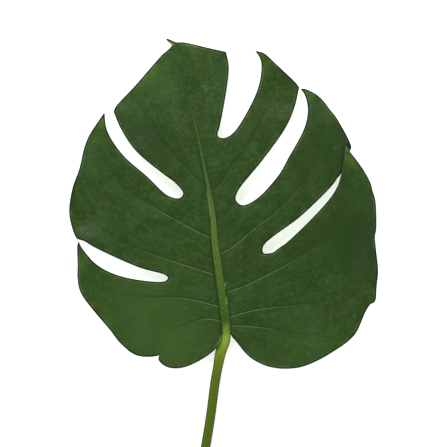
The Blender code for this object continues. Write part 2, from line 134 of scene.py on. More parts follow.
# Fineness of the mesh. The lines beside the midrib and the veins carry their relief, and
# the outer ones beside the midrib start a few points further up than the rest
EDGE_STEP = 1.25
EDGE_CHORD = 0.02
GRID_STEP = 1.42
GRID_CLEARANCE = 0.6
VEIN_STEP = 1.5
MIDRIB_CHORD = 1.0
VEIN_CHORD = 0.5
BEND_BLUR = 3
MERGE_DISTANCE = 1e-4
MARK_STEP = 0.4
MIDRIB_LINES = (-1.3, -1.12, -1.0, -0.82, -0.55, -0.28, 0.0, 0.28, 0.55, 0.82, 1.0, 1.12, 1.3)
OUTER_LINES_START = 4
VEIN_LINES = (-2.2, -1.2, -0.7, -0.35, 0.0, 0.35, 0.7, 1.2, 2.2)
VEIN_START = 1.35
VEIN_START_GAP = 0.5
VEIN_SPREAD_END = 0.6

# Where the stalk meets the blade, its first ring is inside the midrib and the next is proud
STALK_TUCK = 1.6
STALK_TUCK_WIDTH = 0.9
JOINT_PROUD = (-0.35, 0.08)

# Stalk: points on its way to the cut end, and its radius at lengths along it
STALK_PATH = (
    (-0.4, 0), (-2.2, -8), (-5.7, -17), (-9, -33), (-12.1, -50), (-14.3, -67), (-17, -87),
    (-21.4, -114), (-28.6, -160),
)
STALK_RADIUS = ((0.0, 4.3), (8.0, 5.5), (17.0, 5.75), (27.0, 5.1), (36.0, 4.75), (170.0, 4.8))
STALK_RADIUS_BLUR = 4.0
STALK_JOINT_HEIGHT = 10.0
STALK_SETTLE = 20.0
STALK_SIDES = 72
STALK_STEP = 0.9
JOINT_BLEND = 9.0
CHANNEL_DEPTH = 0.07
CHANNEL_START = 20.0
CHANNEL_FULL = 50.0
CHANNEL_HALF_ANGLE = 0.5
CUT_SLANT = 0.22
CUT_SLANT_LENGTH = 7.0
STALK_RIDGES = 26
STALK_RIDGE_RISE = 0.035
STALK_RIDGE_TWIST = 0.02
KNEE_WRINKLE = 0.05
KNEE_WRINKLE_PITCH = 1.7
KNEE_WRINKLE_SHARES = (0.6, 0.4)
KNEE_WRINKLE_BREAKS = 3.0
KNEE_START = (3.0, 8.0)
KNEE_END = (28.0, 33.0)
CUT_RINGS = (0.985, 0.95, 0.88, 0.76, 0.6, 0.42, 0.22)
CUT_HOLLOW = 0.35

# Margin of the blade, anticlockwise from the drip tip. Each stretch is a smooth curve
# between two corners, and each slit is one stretch that goes in, round its end and out
SLOT_LEFT_UPPER = (
    (-113.7, 221.9), (-106.4, 205), (-91.5, 182.9), (-61.7, 157.8), (-52.2, 150.8), (-43.7, 140),
    (-46.1, 135.8), (-51, 134.9), (-60.7, 138.8), (-79.6, 156.6), (-105.1, 179.5), (-120.4, 203.8),
    (-123, 221.3),
)
SLOT_LEFT_LOWER = (
    (-148.7, 93.9), (-142.8, 92.1), (-132.6, 86.1), (-87.3, 65.7), (-61.3, 58.1), (-59, 55.2),
    (-62.2, 52.1), (-87.3, 53.2), (-112.8, 59.3), (-131.3, 69.5), (-146, 86.7), (-148.6, 91.9),
)
SLOT_RIGHT_LOWER = (
    (124.2, 184.5), (113.9, 159.3), (110.4, 155), (105.3, 148), (74, 117.4), (36.4, 87.4),
    (36.4, 80.4), (45.3, 80.7), (51.7, 85.2), (59.4, 90.6), (107.2, 141), (115.3, 163.5),
    (118.9, 187.6),
)
SLOT_RIGHT_MIDDLE = (
    (72.4, 246), (68.1, 227.6), (59.1, 206.5), (36.2, 174), (11.3, 142.8), (8.5, 134.8),
    (10.4, 130.6), (15.7, 128), (29.7, 134.5), (52.1, 159), (61, 174.7), (77.6, 205.9),
    (81, 224.8), (77.6, 239.7), (73.5, 245),
)
SLOT_RIGHT_UPPER = (
    (-0.9, 281.7), (1.8, 265.3), (-7.6, 205.6), (-9.4, 199.7), (-8.8, 196.7), (-4.1, 195),
    (5.5, 199.6), (25.9, 232.5), (32.9, 252.3), (34.5, 270.1), (32.3, 277.2), (28.2, 283),
)
TIP_LEFT = (
    (-60.9, 294.1), (-60.3, 293.2), (-57.2, 290.2), (-55.2, 288), (-66, 277.6), (-92.2, 247.9),
    (-111.6, 226.7), (-113.7, 221.9),
)
TIP_RIGHT = (
    (-60.9, 294.1), (-60.2, 294.9), (-56.5, 293.6), (-51, 291.2), (-43, 290.9), (-19, 285.6),
    (-0.9, 281.7),
)
LOBE_LEFT_TWO = (
    (-123, 221.3), (-138.2, 198.2), (-143.1, 186.1), (-147.9, 165.6), (-155.5, 143.3),
    (-158.1, 117.8), (-151.1, 95.5), (-148.7, 93.9),
)
LOBE_LEFT_THREE = (
    (-148.6, 91.9), (-149.8, 88.3), (-149.5, 68.2), (-149.7, 55.5), (-146.5, 40.3), (-116.2, 1.4),
    (-107.3, -10), (-90.7, -22.5), (-69.4, -22.9), (-67.8, -21.3),
)
LOBE_LEFT_FOUR = (
    (-67.8, -21.3), (-68.6, -27.3), (-59.6, -34.4), (-43.6, -34.4), (-18.1, -21.3), (-7.9, -10.7),
    (-4.7, 0),
)
LOBE_RIGHT_FIVE = (
    (143.8, 28.9), (139.3, 21.8), (131, 2.7), (125.9, -4.3), (111.3, -15.8), (74, -34),
    (45.3, -34.5), (27.4, -27.2), (19.8, -21.1), (8.9, -7.7), (4.8, -2.9), (3.9, 0),
)
LOBE_RIGHT_FOUR = (
    (118.9, 187.6), (136.3, 164), (143.4, 151.2), (145.9, 142.3), (148.3, 134.3), (149.5, 103.6),
    (148.3, 97.3), (151.6, 62.3), (150.2, 47.3), (148.3, 31.4), (143.8, 28.9),
)
LOBE_RIGHT_THREE = (
    (73.5, 245), (78.3, 244.8), (92.3, 237.2), (103.8, 223.3), (108.9, 216.9), (124.6, 187.3),
    (124.2, 184.5),
)
LOBE_RIGHT_TWO = ((28.2, 283), (36.8, 280.7), (49.5, 269.5), (70.6, 249.1), (72.4, 246))

# Stretches in order round the leaf. Those of its right side are written the other way round
LEFT_MARGIN = (TIP_LEFT, SLOT_LEFT_UPPER, LOBE_LEFT_TWO, SLOT_LEFT_LOWER, LOBE_LEFT_THREE,
               LOBE_LEFT_FOUR)
RIGHT_MARGIN = (LOBE_RIGHT_FIVE, LOBE_RIGHT_FOUR, SLOT_RIGHT_LOWER, LOBE_RIGHT_THREE,
                SLOT_RIGHT_MIDDLE, LOBE_RIGHT_TWO, SLOT_RIGHT_UPPER, TIP_RIGHT)

MIDRIB = (
    (-0.4, 0), (-2, 18), (-5.5, 43), (-10, 75), (-12.6, 95.3), (-13.8, 114.3), (-16.8, 136.8),
    (-23.2, 168), (-29, 197), (-35, 221.3), (-41, 245.3), (-54, 285.5),
)

# Side veins from the top of the leaf down, each from the midrib out to the edge of its lobe
LEFT_VEINS = (
    ((-19, 143.3), (-42, 165.3), (-80, 213.3), (-92, 236.3)),
    ((-12.5, 93.3), (-37, 105.3), (-99, 142.3), (-115, 159.3), (-125, 178.3),
     (-127.5, 197.3), (-124.5, 214.3)),
    ((-9.2, 57.3), (-83, 82.3), (-124, 102.3), (-141, 117.3), (-149, 133.3)),
    ((-5.5, 26.3), (-40.5, 34.3), (-109, 37.8), (-127, 43.3), (-141, 54.3)),
    ((-3, 11.3), (-20, 14.4), (-46.2, 6.7), (-55.5, 3.8), (-62, -3.7), (-65, -13)),
)
RIGHT_VEINS = (
    ((-18, 138.3), (-4.7, 150.8), (4, 165.3), (24, 191), (44, 243.3),
     (43, 261.3), (36, 276.3)),
    ((-10.5, 77.3), (5.4, 86.1), (29.4, 105.9), (55, 126.3), (81, 158.3),
     (91, 181.3), (94, 203.3), (90, 223.3), (82, 236.3)),
    ((-5.5, 39.3), (16, 46.5), (43, 59.8), (65.3, 71.7), (101, 97.3),
     (117, 118.3), (125, 140.3), (125.5, 161.3), (121.5, 177.3)),
    ((-3, 14.8), (28.8, 23.3), (101.7, 33.3), (125, 47.3), (137, 61.3), (144, 78.3)),
    ((-1, 6.8), (12, 7.5), (42, 4.6), (81, -1.7), (101, 0.8), (119, 10.3)),
)
SIDE_VEINS = LEFT_VEINS + RIGHT_VEINS

# Lines that the fine veins follow past the first and the last side vein of each half
UPPER_GUIDE = ((-17.5, 141), (-23.2, 168), (-35, 221.3), (-54, 285.5))
LEFT_BASE_GUIDE = ((-4.2, 2), (-9, -13), (-20, -25), (-44, -38))
RIGHT_BASE_GUIDE = ((3.8, 2), (9.5, -10), (22, -25), (45, -38))

# Yellower places of the blade, in plan: place, radius and strength. The first set is only
# on the folded lobe, the second on the rest
SUNNY_FOLD = (((124.5, 175), 6, 0.5), ((131, 162), 15, 0.35))
SUNNY_SPOTS = (
    ((-124, 216), 7, 0.9), ((-133, 198), 9, 0.45), ((-76, 263), 6, 0.45),
    ((-84, 251), 8, 0.35), ((-38, 286), 9, 0.4), ((34, 275), 9, 0.6), ((79, 240), 9, 0.55),
    ((112, -5), 18, 0.3), ((-143, 72), 12, 0.4), ((-122, 15), 16, 0.3),
    ((148, 120), 14, 0.2),
)

# Broad lighter and darker places of the blade: place, radius and strength
BROAD_SHADES = (
    ((-85, 20), 45, 0.6), ((-45, -20), 25, 0.4), ((75, -15), 35, 0.45),
    ((-110, 140), 30, -0.25), ((-70, 245), 20, 0.6), ((55, 95), 38, -0.25),
    ((135, 95), 32, -0.9), ((103, 185), 30, -0.7), ((10, 60), 25, -0.3),
    ((-75, 198), 24, -0.8), ((20, 220), 18, -0.2),
)

# Painted shade in the corner beside the folded tip: strokes with their half width and strength
FOLD_SHADE_STROKES = (
    ((122, 191.5), (123.2, 185), 3.0, 1.0), ((112, 211), (122, 191.5), 1.7, 0.7),
)

# Where dust and pale specks lie: place, radius and strength
DUSTY_SPOTS = (
    ((-17, 243), 9, 1.0), ((-54, 240), 10, 0.8), ((-50, 206), 10, 0.9),
    ((-22, 216), 11, 0.5), ((-86, 190), 9, 0.7), ((-139, 107), 7, 0.5),
    ((32, 228), 7, 0.6), ((82, -14), 9, 0.7), ((105, 60), 14, 0.5),
)

# Short pale scars and worn places, and a pale line along the midrib's left edge: their ends, half
# width and strength
SCARS = (
    ((-2, 50), (-1.8, 46.8), 0.5, 0.7), ((-0.6, 35.5), (-0.2, 32), 0.5, 0.6),
    ((-0.2, 32), (-0.7, 29), 0.5, 0.75), ((0.3, 9.5), (2, 6), 0.5, 0.5),
    ((-58.4, 291), (-55.4, 288.6), 0.8, 0.8), ((-56.9, 291), (-53.6, 289.2), 0.8, 0.6),
    ((-41, 288.6), (-30, 286.6), 0.7, 0.25), ((-19.6, 141), (-16.6, 117), 0.7, 0.35),
)

# Places whose edge line is pale: the small lobe over the stalk, and the folded tip
PALE_EDGES = (((-6.5, -7), 4.5, 1.2),)
PALE_FOLD_WIDTH = (2, 6)
PALE_FOLD_RISE = (173, 186)
PALE_FOLD = (0.3, 0.85)

# Colours, as their 0 to 255 values on a screen
LEAF_DEEP = (36, 63, 18)
LEAF_OLIVE = (50, 74, 23)
LEAF_GREEN = (45, 75, 29)
LEAF_LIGHT = (60, 92, 33)
LEAF_SUNNY = (84, 120, 16)
LEAF_FINE_VEIN = (66, 100, 46)
VEIN_PALE = (94, 126, 80)
VEIN_SHADOW = (30, 55, 14)
# Painted shade for the creases beside the midrib, also the colour of dark streaks along the midrib
CREASE_SHADE_AND_STREAK = (32, 62, 4)
# Painted shade: the dark line along the margin, where the edge turns down, and the shaded corner
# beside the fold
EDGE_SHADE = (20, 33, 10)
EDGE_PALE = (88, 118, 64)
DUST = (118, 142, 112)
SCAR = (152, 168, 112)
UNDER_GREEN = (112, 142, 92)
UNDER_PALE = (128, 156, 104)
UNDER_NET = (88, 120, 66)
UNDER_VEIN = (146, 170, 100)
# Painted highlight at the midrib's base, where it runs into the knee
KNEE_HIGHLIGHT = (142, 172, 52)
# Painted shade on the sides of the knee
KNEE_SIDE_SHADE = (118, 142, 60)
# Painted shade on the stalk's flanks, also the colour of its fine dark strands
FLANK_SHADE_AND_STRAND = (34, 46, 12)
STALK_PALE = (106, 130, 54)
CUT_PITH = (188, 198, 138)
CUT_RIND = (118, 146, 66)
CUT_STRAND = (98, 122, 62)
FLOOR_COLOURS = ((246, 246, 246), (251, 251, 250))

# Colour along the midrib from the blade base, and along the stalk from the knee
MIDRIB_STOPS = (
    (0.0, (84, 114, 30)), (0.03, (76, 104, 24)), (0.05, (58, 90, 14)), (0.07, (64, 96, 20)),
    (0.15, (72, 103, 30)), (0.3, (88, 115, 43)), (0.41, (92, 116, 46)), (0.48, (78, 102, 38)),
    (0.58, (66, 93, 40)), (0.7, (62, 92, 36)), (0.8, (54, 84, 30)),
)
STALK_STOPS = (
    (0.0, (126, 154, 48)), (0.03, (142, 170, 54)), (0.06, (144, 171, 54)), (0.1, (126, 152, 42)),
    (0.16, (106, 128, 26)), (0.2, (101, 122, 20)), (0.26, (90, 112, 16)), (0.5, (84, 106, 20)),
    (1.0, (76, 95, 20)),
)

# Fields that each mesh holds for its material. Those of the stalk have their values in the
# middle of its first and its last end
BLADE_FIELDS = ("edge", "across", "midrib_along", "vein", "vein_along", "fan", "fan_width",
                "reach", "sunny", "tone", "above", "dusty", "scar", "pale_edge", "fold_shade")
STALK_FIELDS = {"stalk_along": (0.0, 1.0), "cut": (0.0, 1.0), "cut_out": (1.0, 0.0),
                "round_x": (0.0, 0.0), "round_y": (0.0, 0.0)}

# Noise on the blade: its scale, detail and roughness
BLADE_NOISE = {"mottle": (62.0, 4.0, 0.6), "fine": (420.0, 3.0, 0.6),
               "cloud": (210.0, 3.0, 0.65), "film": (330.0, 4.0, 0.7),
               "tint": (15.0, 2.0, 0.5), "specks": (90.0, 2.0, 0.5)}

# Noise that runs in strands: the fields it follows and its scale in each, then its detail
# and roughness
BLADE_STRANDS = {"streak": (("fan", "reach", "face_up"), (9.0, 0.03, 1.0), 4.0, 0.6),
                 "rib_streak": (("signed_across", "midrib_along"), (3.2, 9.0), 3.0, 0.6),
                 "rib_fleck": (("signed_across", "midrib_along"), (1.6, 75.0), 3.0, 0.6),
                 "broken": (("fan", "vein_along"), (2.0, 34.0), 2.0, 0.5)}
STALK_STRANDS = {"streak": (("round_x", "round_y", "stalk_along"), (4.0, 4.0, 5.0), 4.0, 0.65),
                 "fine": (("round_x", "round_y", "stalk_along"), (14.0, 14.0, 12.0), 3.0, 0.6)}
NET_SCALE = 260.0
SPECK_SCALE = 460.0
CUT_STRAND_SCALE = 6.0

# Smooth changes in a field: start, end, and the values there if not 0 and 1
MOTTLE_RANGE = (0.32, 0.68)
TINT_RANGE = (0.35, 0.65)
NET_LINE = (0.12, 0.02)
MIDRIB_NARROWING = (0.35, 0.7, 1.0, 0.62)
HIGHLIGHT_WIDENING = (0.02, 0.0, 0.9, 1.5)

# The painted highlight stripe along the midrib at the blade base, and amounts in other marks
HIGHLIGHT_CORE = 0.1
HIGHLIGHT_PLACE = -0.1
SUNNY_SHARES = (0.8, 0.5)
SHADOW_SHARES = (0.15, 0.85)
DUSTY_SPECKS = 0.12
FINE_VEIN_WANDER = 0.12

# Where the fine veins show: the product of these smooth changes
FINE_VEIN = (("to_line", 0.7, 0.1), ("spacing", 2.2, 4.0), ("vein", 1.0, 3.0))

# Layers of colour, from the first to the last: strength, colour, and the fields whose
# product says where it shows, each as it is or with the start and end of a smooth change
UPPER_LAYERS = (
    (0.85, LEAF_DEEP, ("mottle", 1.0, 0.0)),
    (0.55, LEAF_LIGHT, ("cloud", 0.5, 0.66)),
    (0.55, LEAF_DEEP, ("cloud", 0.5, 0.34)),
    (0.3, LEAF_LIGHT, ("streak", 0.4, 0.8)),
    (1.0, LEAF_LIGHT, ("tone", 0.0, 1.0)),
    (1.0, LEAF_DEEP, ("tone", 0.0, -1.0)),
    # Painted shade in the corner beside the folded tip
    (0.95, EDGE_SHADE, ("fold_shade",)),
    (1.0, LEAF_SUNNY, ("sunlit", 0.1, 1.3)),
    (0.1, LEAF_FINE_VEIN, ("net",)),
    (0.24, LEAF_FINE_VEIN, ("secondary",), ("streak", 0.42, 0.66)),
    (0.6, VEIN_SHADOW, ("vein", 3.2, 0.8), ("shadow_side",), ("vein_along", 0.85, 0.35)),
    # Painted shade in the creases beside the midrib, stronger on its left side
    (1.0, CREASE_SHADE_AND_STREAK, ("across", 1.9, 1.15), ("midrib_along", 0.8, 0.5),
     ("signed_across", 0.9, -0.9, 0.45, 1.0)),
    (1.0, VEIN_PALE, ("vein", 0.62, 0.2), ("vein_along", 0.6, 0.15), ("across", 1.0, 1.25),
     ("broken", 0.3, 0.6, 0.45, 1.0), ("fan", 0.9, 2.2, 0.35, 1.0)),
    (1.0, "midrib_green", ("midrib_across", 1.04, 0.82), ("midrib_along", 0.88, 0.74)),
    (0.17, DUST, ("film", 0.45, 0.7), ("dusty", 0.1, 0.9)),
    (0.6, EDGE_PALE, ("edge", 2.8, 1.9), ("mottle", 0.5, 0.62), ("fold_shade", 0.5, 0.0)),
    # Painted shade: a dark line along the margin, pale instead where the edge line is pale
    (1.0, "edge_shade_line", ("edge", 1.9, 1.0)),
    (1.0, SCAR, ("scar",)),
    (0.75, DUST, ("speck", 0.3, 0.12), ("specks", 0.6, 0.75)),
)
MIDRIB_LAYERS = (
    (0.3, CREASE_SHADE_AND_STREAK, ("rib_streak", 0.45, 0.62)),
    (0.45, VEIN_PALE, ("rib_fleck", 0.53, 0.7)),
    (0.45, CREASE_SHADE_AND_STREAK, ("rib_fleck", 0.47, 0.3)),
    # Painted highlight: a bright stripe down the midrib's base
    (0.65, KNEE_HIGHLIGHT, ("highlight_stripe",), ("rib_streak", 0.3, 0.6, 0.65, 1.0),
     ("midrib_along", 0.045, 0.0)),
)
UNDER_LAYERS = (
    (0.45, UNDER_NET, ("net",)),
    (0.6, UNDER_VEIN, ("secondary",)),
    (1.0, UNDER_VEIN, ("vein", 1.7, 0.8)),
    (1.0, UNDER_VEIN, ("across", 1.05, 0.9)),
    (1.0, UNDER_NET, ("edge", 0.9, 0.3)),
)
STALK_LAYERS = (
    # Painted shade: the sides of the knee and the stalk's flanks darker than its middle
    (1.0, KNEE_SIDE_SHADE, ("aside", 0.25, 0.8), ("stalk_along", 0.2, 0.12)),
    (0.95, FLANK_SHADE_AND_STRAND, ("aside", 0.62, 0.92), ("stalk_along", 0.04, 0.22, 0.35, 1.0)),
    (0.5, STALK_PALE, ("streak", 0.52, 0.75)),
    (0.35, FLANK_SHADE_AND_STRAND, ("fine", 0.5, 0.25)),
    (1.0, "cut_face", ("cut",)),
)
CUT_LAYERS = (
    (1.0, CUT_RIND, ("cut_out", 0.84, 0.97)),
    (0.7, CUT_STRAND, ("cut_strand", 0.34, 0.2)),
)

# What adds to the roughness, and to the fine relief in millimetres: amount and fields
ROUGHNESS = 0.4
BLADE_ROUGHNESS = ((0.12, ("fine",)), (0.1, ("mottle",)), (0.2, ("face_up", 0.6, 0.4)))
BLADE_RELIEF = ((0.035, ("fine",)), (-0.03, ("net",)), (-0.04, ("secondary",), ("face_sign",)),
                (0.1, ("rib_streak",), ("across", 1.02, 0.86)))
BLADE_SPECULAR = 0.2
STALK_ROUGHNESS = ((0.14, ("streak",)), (0.1, ("cut",)))
STALK_RELIEF = ((0.07, ("fine",)), (0.05, ("streak",)))
STALK_SPECULAR = 0.1
FLOOR_ROUGHNESS = 0.85
FLOOR_GRAIN = (3.0, 4.0)
FLOOR_RELIEF = 0.02

# Camera, in metres: over the photograph's middle, its view 447 mm across at the leaf
VIEW_CENTRE = (-0.0001, 0.0433)
VIEW_WIDTH = 0.447
VIEW_PLANE = 0.008
VIEW_DISTANCE = 2.5
VIEW_CLIP = (0.1, 50.0)
SENSOR = 36.0

# Light: the white table's own glow, the room's light low down and overhead, the key light
WHITE = (1.0, 1.0, 1.0, 1.0)
TABLE_GLOW = 0.6
TABLE_DEPTH = 0.05
TABLE_REACH = 12.0
ROOM_LIGHT = (1.0, 0.08)
ROOM_FADE = (0.7, 0.95)
KEY_PLACE = (-0.5, 2.1, 1.9)
KEY_SIZE = 1.1
KEY_POWER = 34.0
KEY_TARGET = (0.0, 0.03, 0.0)


# Curves and small formulas

def smooth_step(start, end, value):
    """0 before start, 1 after end, and a smooth rise between."""
    t = np.clip((value - start) / (end - start), 0.0, 1.0)
    return t * t * (3.0 - 2.0 * t)


def read_table(table, value):
    """Read a table of (place, size) pairs at any place between them."""
    places, sizes = zip(*table)
    return np.interp(value, places, sizes)


def curve_through(points, steps=24):
    """Close-set points on a smooth curve through the given ones (centripetal)."""
    p = np.asarray(points, float)
    p = np.vstack([2 * p[0] - p[1], p, 2 * p[-1] - p[-2]])
    run = []
    for p0, p1, p2, p3 in zip(p[:-3], p[1:-2], p[2:-1], p[3:]):
        t1 = math.sqrt(np.linalg.norm(p1 - p0))
        t2 = t1 + math.sqrt(np.linalg.norm(p2 - p1))
        t3 = t2 + math.sqrt(np.linalg.norm(p3 - p2))
        t = np.linspace(t1, t2, steps, endpoint=False)[:, None]
        a1 = (t1 - t) / t1 * p0 + t / t1 * p1
        a2 = (t2 - t) / (t2 - t1) * p1 + (t - t1) / (t2 - t1) * p2
        a3 = (t3 - t) / (t3 - t2) * p2 + (t - t2) / (t3 - t2) * p3
        b1 = (t2 - t) / t2 * a1 + t / t2 * a2
        b2 = (t3 - t) / (t3 - t1) * a2 + (t - t1) / (t3 - t1) * a3
        run.append((t2 - t) / (t2 - t1) * b1 + (t - t1) / (t2 - t1) * b2)
    run.append(p[-2:-1])
    return np.vstack(run)


def spaced(curve, longest, chord):
    """Fewer points on the same curve: far apart where it is straight, close round bends."""
    step = np.diff(curve, axis=0)
    length = np.hypot(step[:, 0], step[:, 1])
    heading = np.unwrap(np.arctan2(step[:, 1], step[:, 0]))
    bend = np.zeros(len(curve))
    bend[1:-1] = np.abs(np.diff(heading)) / (0.5 * (length[1:] + length[:-1]))
    width = 2 * BEND_BLUR + 1
    bend = np.convolve(np.pad(bend, BEND_BLUR, mode="edge"), np.ones(width) / width, mode="valid")
    density = np.maximum(1.0 / longest, np.sqrt(bend / (8.0 * chord)))
    share = np.concatenate([[0.0], np.cumsum(0.5 * (density[1:] + density[:-1]) * length)])
    count = max(1, math.ceil(share[-1]))
    return points_at(curve, share, np.linspace(0.0, share[-1], count + 1))


def lengths_along(curve):
    """How far along a curve each of its points is."""
    return np.concatenate([[0.0], np.cumsum(np.hypot(*np.diff(curve, axis=0).T))])


def points_at(curve, places, wanted):
    """Points of a curve at the wanted ones of its places."""
    return np.column_stack([np.interp(wanted, places, curve[:, k]) for k in (0, 1)])


def headings(curve):
    """Direction in which a curve goes at each of its points."""
    heading = np.gradient(curve, axis=0)
    return heading / np.linalg.norm(heading, axis=1)[:, None]


def distance_along(curve, points):
    """Distance of each point to a curve, how far along it that is, and on which side."""
    a, b = curve[:-1], curve[1:]
    ab = b - a
    length = np.hypot(ab[:, 0], ab[:, 1])
    before = np.concatenate([[0.0], np.cumsum(length)])
    best = np.full(len(points), np.inf)
    along = np.zeros(len(points))
    side = np.ones(len(points))
    for k in range(len(a)):
        away = points - a[k]
        t = np.clip((away @ ab[k]) / (length[k] ** 2), 0.0, 1.0)
        gap = np.hypot(*(away - t[:, None] * ab[k]).T)
        nearer = gap < best
        best[nearer] = gap[nearer]
        along[nearer] = (before[k] + t[nearer] * length[k]) / before[-1]
        turn = ab[k, 0] * away[nearer, 1] - ab[k, 1] * away[nearer, 0]
        side[nearer] = np.where(turn < 0.0, -1.0, 1.0)
    return best, along, side


def swelling(place, length, rise, seed, waves=9):
    """Gentle uneven rise and fall of about one wavelength, the same in every run."""
    draw = np.random.default_rng(seed)
    turn = draw.uniform(0.0, 2.0 * math.pi, waves)
    start = draw.uniform(0.0, 2.0 * math.pi, waves)
    stretch = draw.uniform(0.7, 1.4, waves)
    total = np.zeros(len(place))
    for k in range(waves):
        run = place @ np.array([math.cos(turn[k]), math.sin(turn[k])])
        total += np.sin(2.0 * math.pi * run / (length * stretch[k]) + start[k])
    return rise * total / math.sqrt(waves / 2.0)


def spots_at(place, spots):
    """Sum of soft round spots, each given by its place, radius and strength."""
    total = np.zeros(len(place))
    for centre, radius, strength in spots:
        total += strength * np.exp(-((place - centre) ** 2).sum(axis=1) / (2.0 * radius ** 2))
    return total


def strokes_at(place, strokes):
    """Soft narrow marks along short straight strokes."""
    total = np.zeros(len(place))
    for start, end, width, strength in strokes:
        gap, _, _ = distance_along(np.array((start, end)), place)
        total = np.maximum(total, strength * np.exp(-(gap / width) ** 2))
    return total


# The fold of the fourth right lobe: flat pattern to true place

def fold_shift(y):
    """How far the flat pattern holds the lobe aside at height y."""
    t = np.clip((y - FOLD_START) / (FOLD_END - FOLD_START), 0.0, 1.0)
    return FOLD_SHIFT * (1.0 - (1.0 - t) ** 2)


def past_divider(flat):
    """How far right of the folded lobe's dividing line each point of the pattern is."""
    divider = np.array(FOLD_DIVIDER)
    return flat[:, 0] - np.interp(flat[:, 1], divider[:, 1], divider[:, 0])


def on_folded_lobe(flat):
    """1 for points of the flat pattern on the fourth right lobe, near its tip."""
    return ((past_divider(flat) > 0.0) & (flat[:, 1] > FOLD_DIVIDER[0][1])).astype(float)


def true_place(flat):
    """Plan position of points of the flat pattern, with the lobe laid over its neighbour."""
    place = flat.copy()
    place[:, 0] -= on_folded_lobe(flat) * fold_shift(flat[:, 1])
    return place


# The flat pattern: outline, veins and triangles

def margin_outline(longest, chord):
    """The whole margin in the flat pattern, anticlockwise, as one closed loop."""
    loop = []
    for stretch in LEFT_MARGIN + RIGHT_MARGIN:
        curve = curve_through(stretch)
        if stretch is LOBE_RIGHT_FOUR:
            curve[:, 0] += fold_shift(curve[:, 1])
        if stretch is SLOT_RIGHT_LOWER:
            inner = int(np.argmin(curve[:, 0]))
            curve[inner:, 0] += fold_shift(curve[inner:, 1])
        points = spaced(curve, longest, chord)
        if stretch in RIGHT_MARGIN:
            points = points[::-1]
        loop.extend(points[:-1])
        if stretch is LOBE_LEFT_FOUR:
            loop.extend(base_line())
    return np.array(loop)


def base_line():
    """Points across the end of the midrib, where the stalk meets it."""
    half = read_table(MIDRIB_HALF_WIDTH, 0.0)
    return [np.array([MIDRIB[0][0] + k * half, 0.0]) for k in MIDRIB_LINES if -1.0 <= k < 1.0]


def midrib_lines():
    """Lines along the midrib: its middle, its shoulders, its sides and their creases."""
    middle = spaced(curve_through(MIDRIB), VEIN_STEP, MIDRIB_CHORD)
    half = read_table(MIDRIB_HALF_WIDTH, middle[:, 1])
    lines = []
    for k in MIDRIB_LINES:
        first = 0 if abs(k) <= 1.0 else OUTER_LINES_START
        lines.append(np.column_stack([middle[:, 0] + k * half, middle[:, 1]])[first:])
    return lines


def side_vein_lines():
    """Lines along each side vein: its middle, its two sides and the groove it lies in."""
    middle = curve_through(MIDRIB)
    lines = []
    for vein in SIDE_VEINS:
        curve = spaced(curve_through(vein), VEIN_STEP, VEIN_CHORD)
        if curve[-1, 1] > FOLD_START and curve[-1, 0] > FOLD_DIVIDER[0][0]:
            curve[:, 0] += fold_shift(curve[:, 1])
        gap, _, _ = distance_along(middle, curve)
        start = VEIN_START * read_table(MIDRIB_HALF_WIDTH, curve[:, 1]) + VEIN_START_GAP
        curve = curve[gap > start]
        heading = headings(curve)
        side = np.column_stack([-heading[:, 1], heading[:, 0]])
        spread = np.linspace(1.0, VEIN_SPREAD_END, len(curve))[:, None]
        lines += [curve + side * spread * k for k in VEIN_LINES]
    return lines


def inside(loop, points):
    """True for each point that lies inside the closed loop."""
    odd = np.zeros(len(points), bool)
    for a, b in zip(loop, np.roll(loop, -1, axis=0)):
        crosses = (a[1] > points[:, 1]) != (b[1] > points[:, 1])
        if crosses.any():
            x = a[0] + (points[crosses, 1] - a[1]) * (b[0] - a[0]) / (b[1] - a[1])
            odd[crosses] ^= points[crosses, 0] < x
    return odd


def nearest_distance(marks, points):
    """Distance from each point to the nearest of the marks."""
    tree = KDTree(len(marks))
    for k, mark in enumerate(marks):
        tree.insert((mark[0], mark[1], 0.0), k)
    tree.balance()
    return np.array([tree.find((p[0], p[1], 0.0))[2] for p in points])


def triangular_grid(low, high, step):
    """Evenly set points in staggered rows between two corners."""
    row_step = step * math.sqrt(0.75)
    points = []
    for row, y in enumerate(np.arange(low[1], high[1], row_step)):
        xs = np.arange(low[0] + 0.5 * step * (row % 2), high[0], step)
        points.append(np.column_stack([xs, np.full(len(xs), y)]))
    return np.vstack(points)


def close_set(line):
    """Points close together along a line of straight pieces."""
    length = lengths_along(line)
    return points_at(line, length, np.arange(0.0, length[-1], MARK_STEP))


def flat_pattern(loop):
    """Points and triangles of the blade, opened out flat."""
    lines = midrib_lines() + side_vein_lines()
    grid = triangular_grid(loop.min(axis=0), loop.max(axis=0), GRID_STEP)
    grid = grid[inside(loop, grid)]
    marks = [close_set(np.vstack([loop, loop[:1]]))] + [close_set(line) for line in lines]
    grid = grid[nearest_distance(np.vstack(marks), grid) > GRID_CLEARANCE * GRID_STEP]

    points = [tuple(p) for p in loop]
    edges = [(k, (k + 1) % len(loop)) for k in range(len(loop))]
    for line in lines:
        first = len(points)
        points += [tuple(p) for p in line]
        edges += [(first + k, first + k + 1) for k in range(len(line) - 1)]
    points += [tuple(p) for p in grid]
    inside_only = 1
    made = delaunay_2d_cdt(points, edges, [], inside_only, MERGE_DISTANCE)
    found, triangles = made[0], made[2]
    return np.array([tuple(p) for p in found]), [tuple(t) for t in triangles]


# Where each point lies among the veins

def half_of_fan(place, veins, upper_guide, lower_guide, up_side):
    """Place of each point among the side veins of one half: 1.5 is midway from 1 to 2."""
    lines = (upper_guide, *veins, lower_guide)
    reads = [distance_along(curve_through(line, steps=8), place) for line in lines]
    gaps, alongs, sides = np.array(reads).swapaxes(0, 1)
    nearest = 1 + np.argmin(gaps[1:-1], axis=0)
    pick = np.arange(len(place))
    above = sides[nearest, pick] * up_side > 0.0
    neighbour = np.where(above, nearest - 1, nearest + 1)
    gap = gaps[nearest, pick]
    width = gap + gaps[neighbour, pick]
    fan = nearest + np.where(above, -1.0, 1.0) * gap / width
    return fan, width, gap, alongs[nearest, pick], above.astype(float)


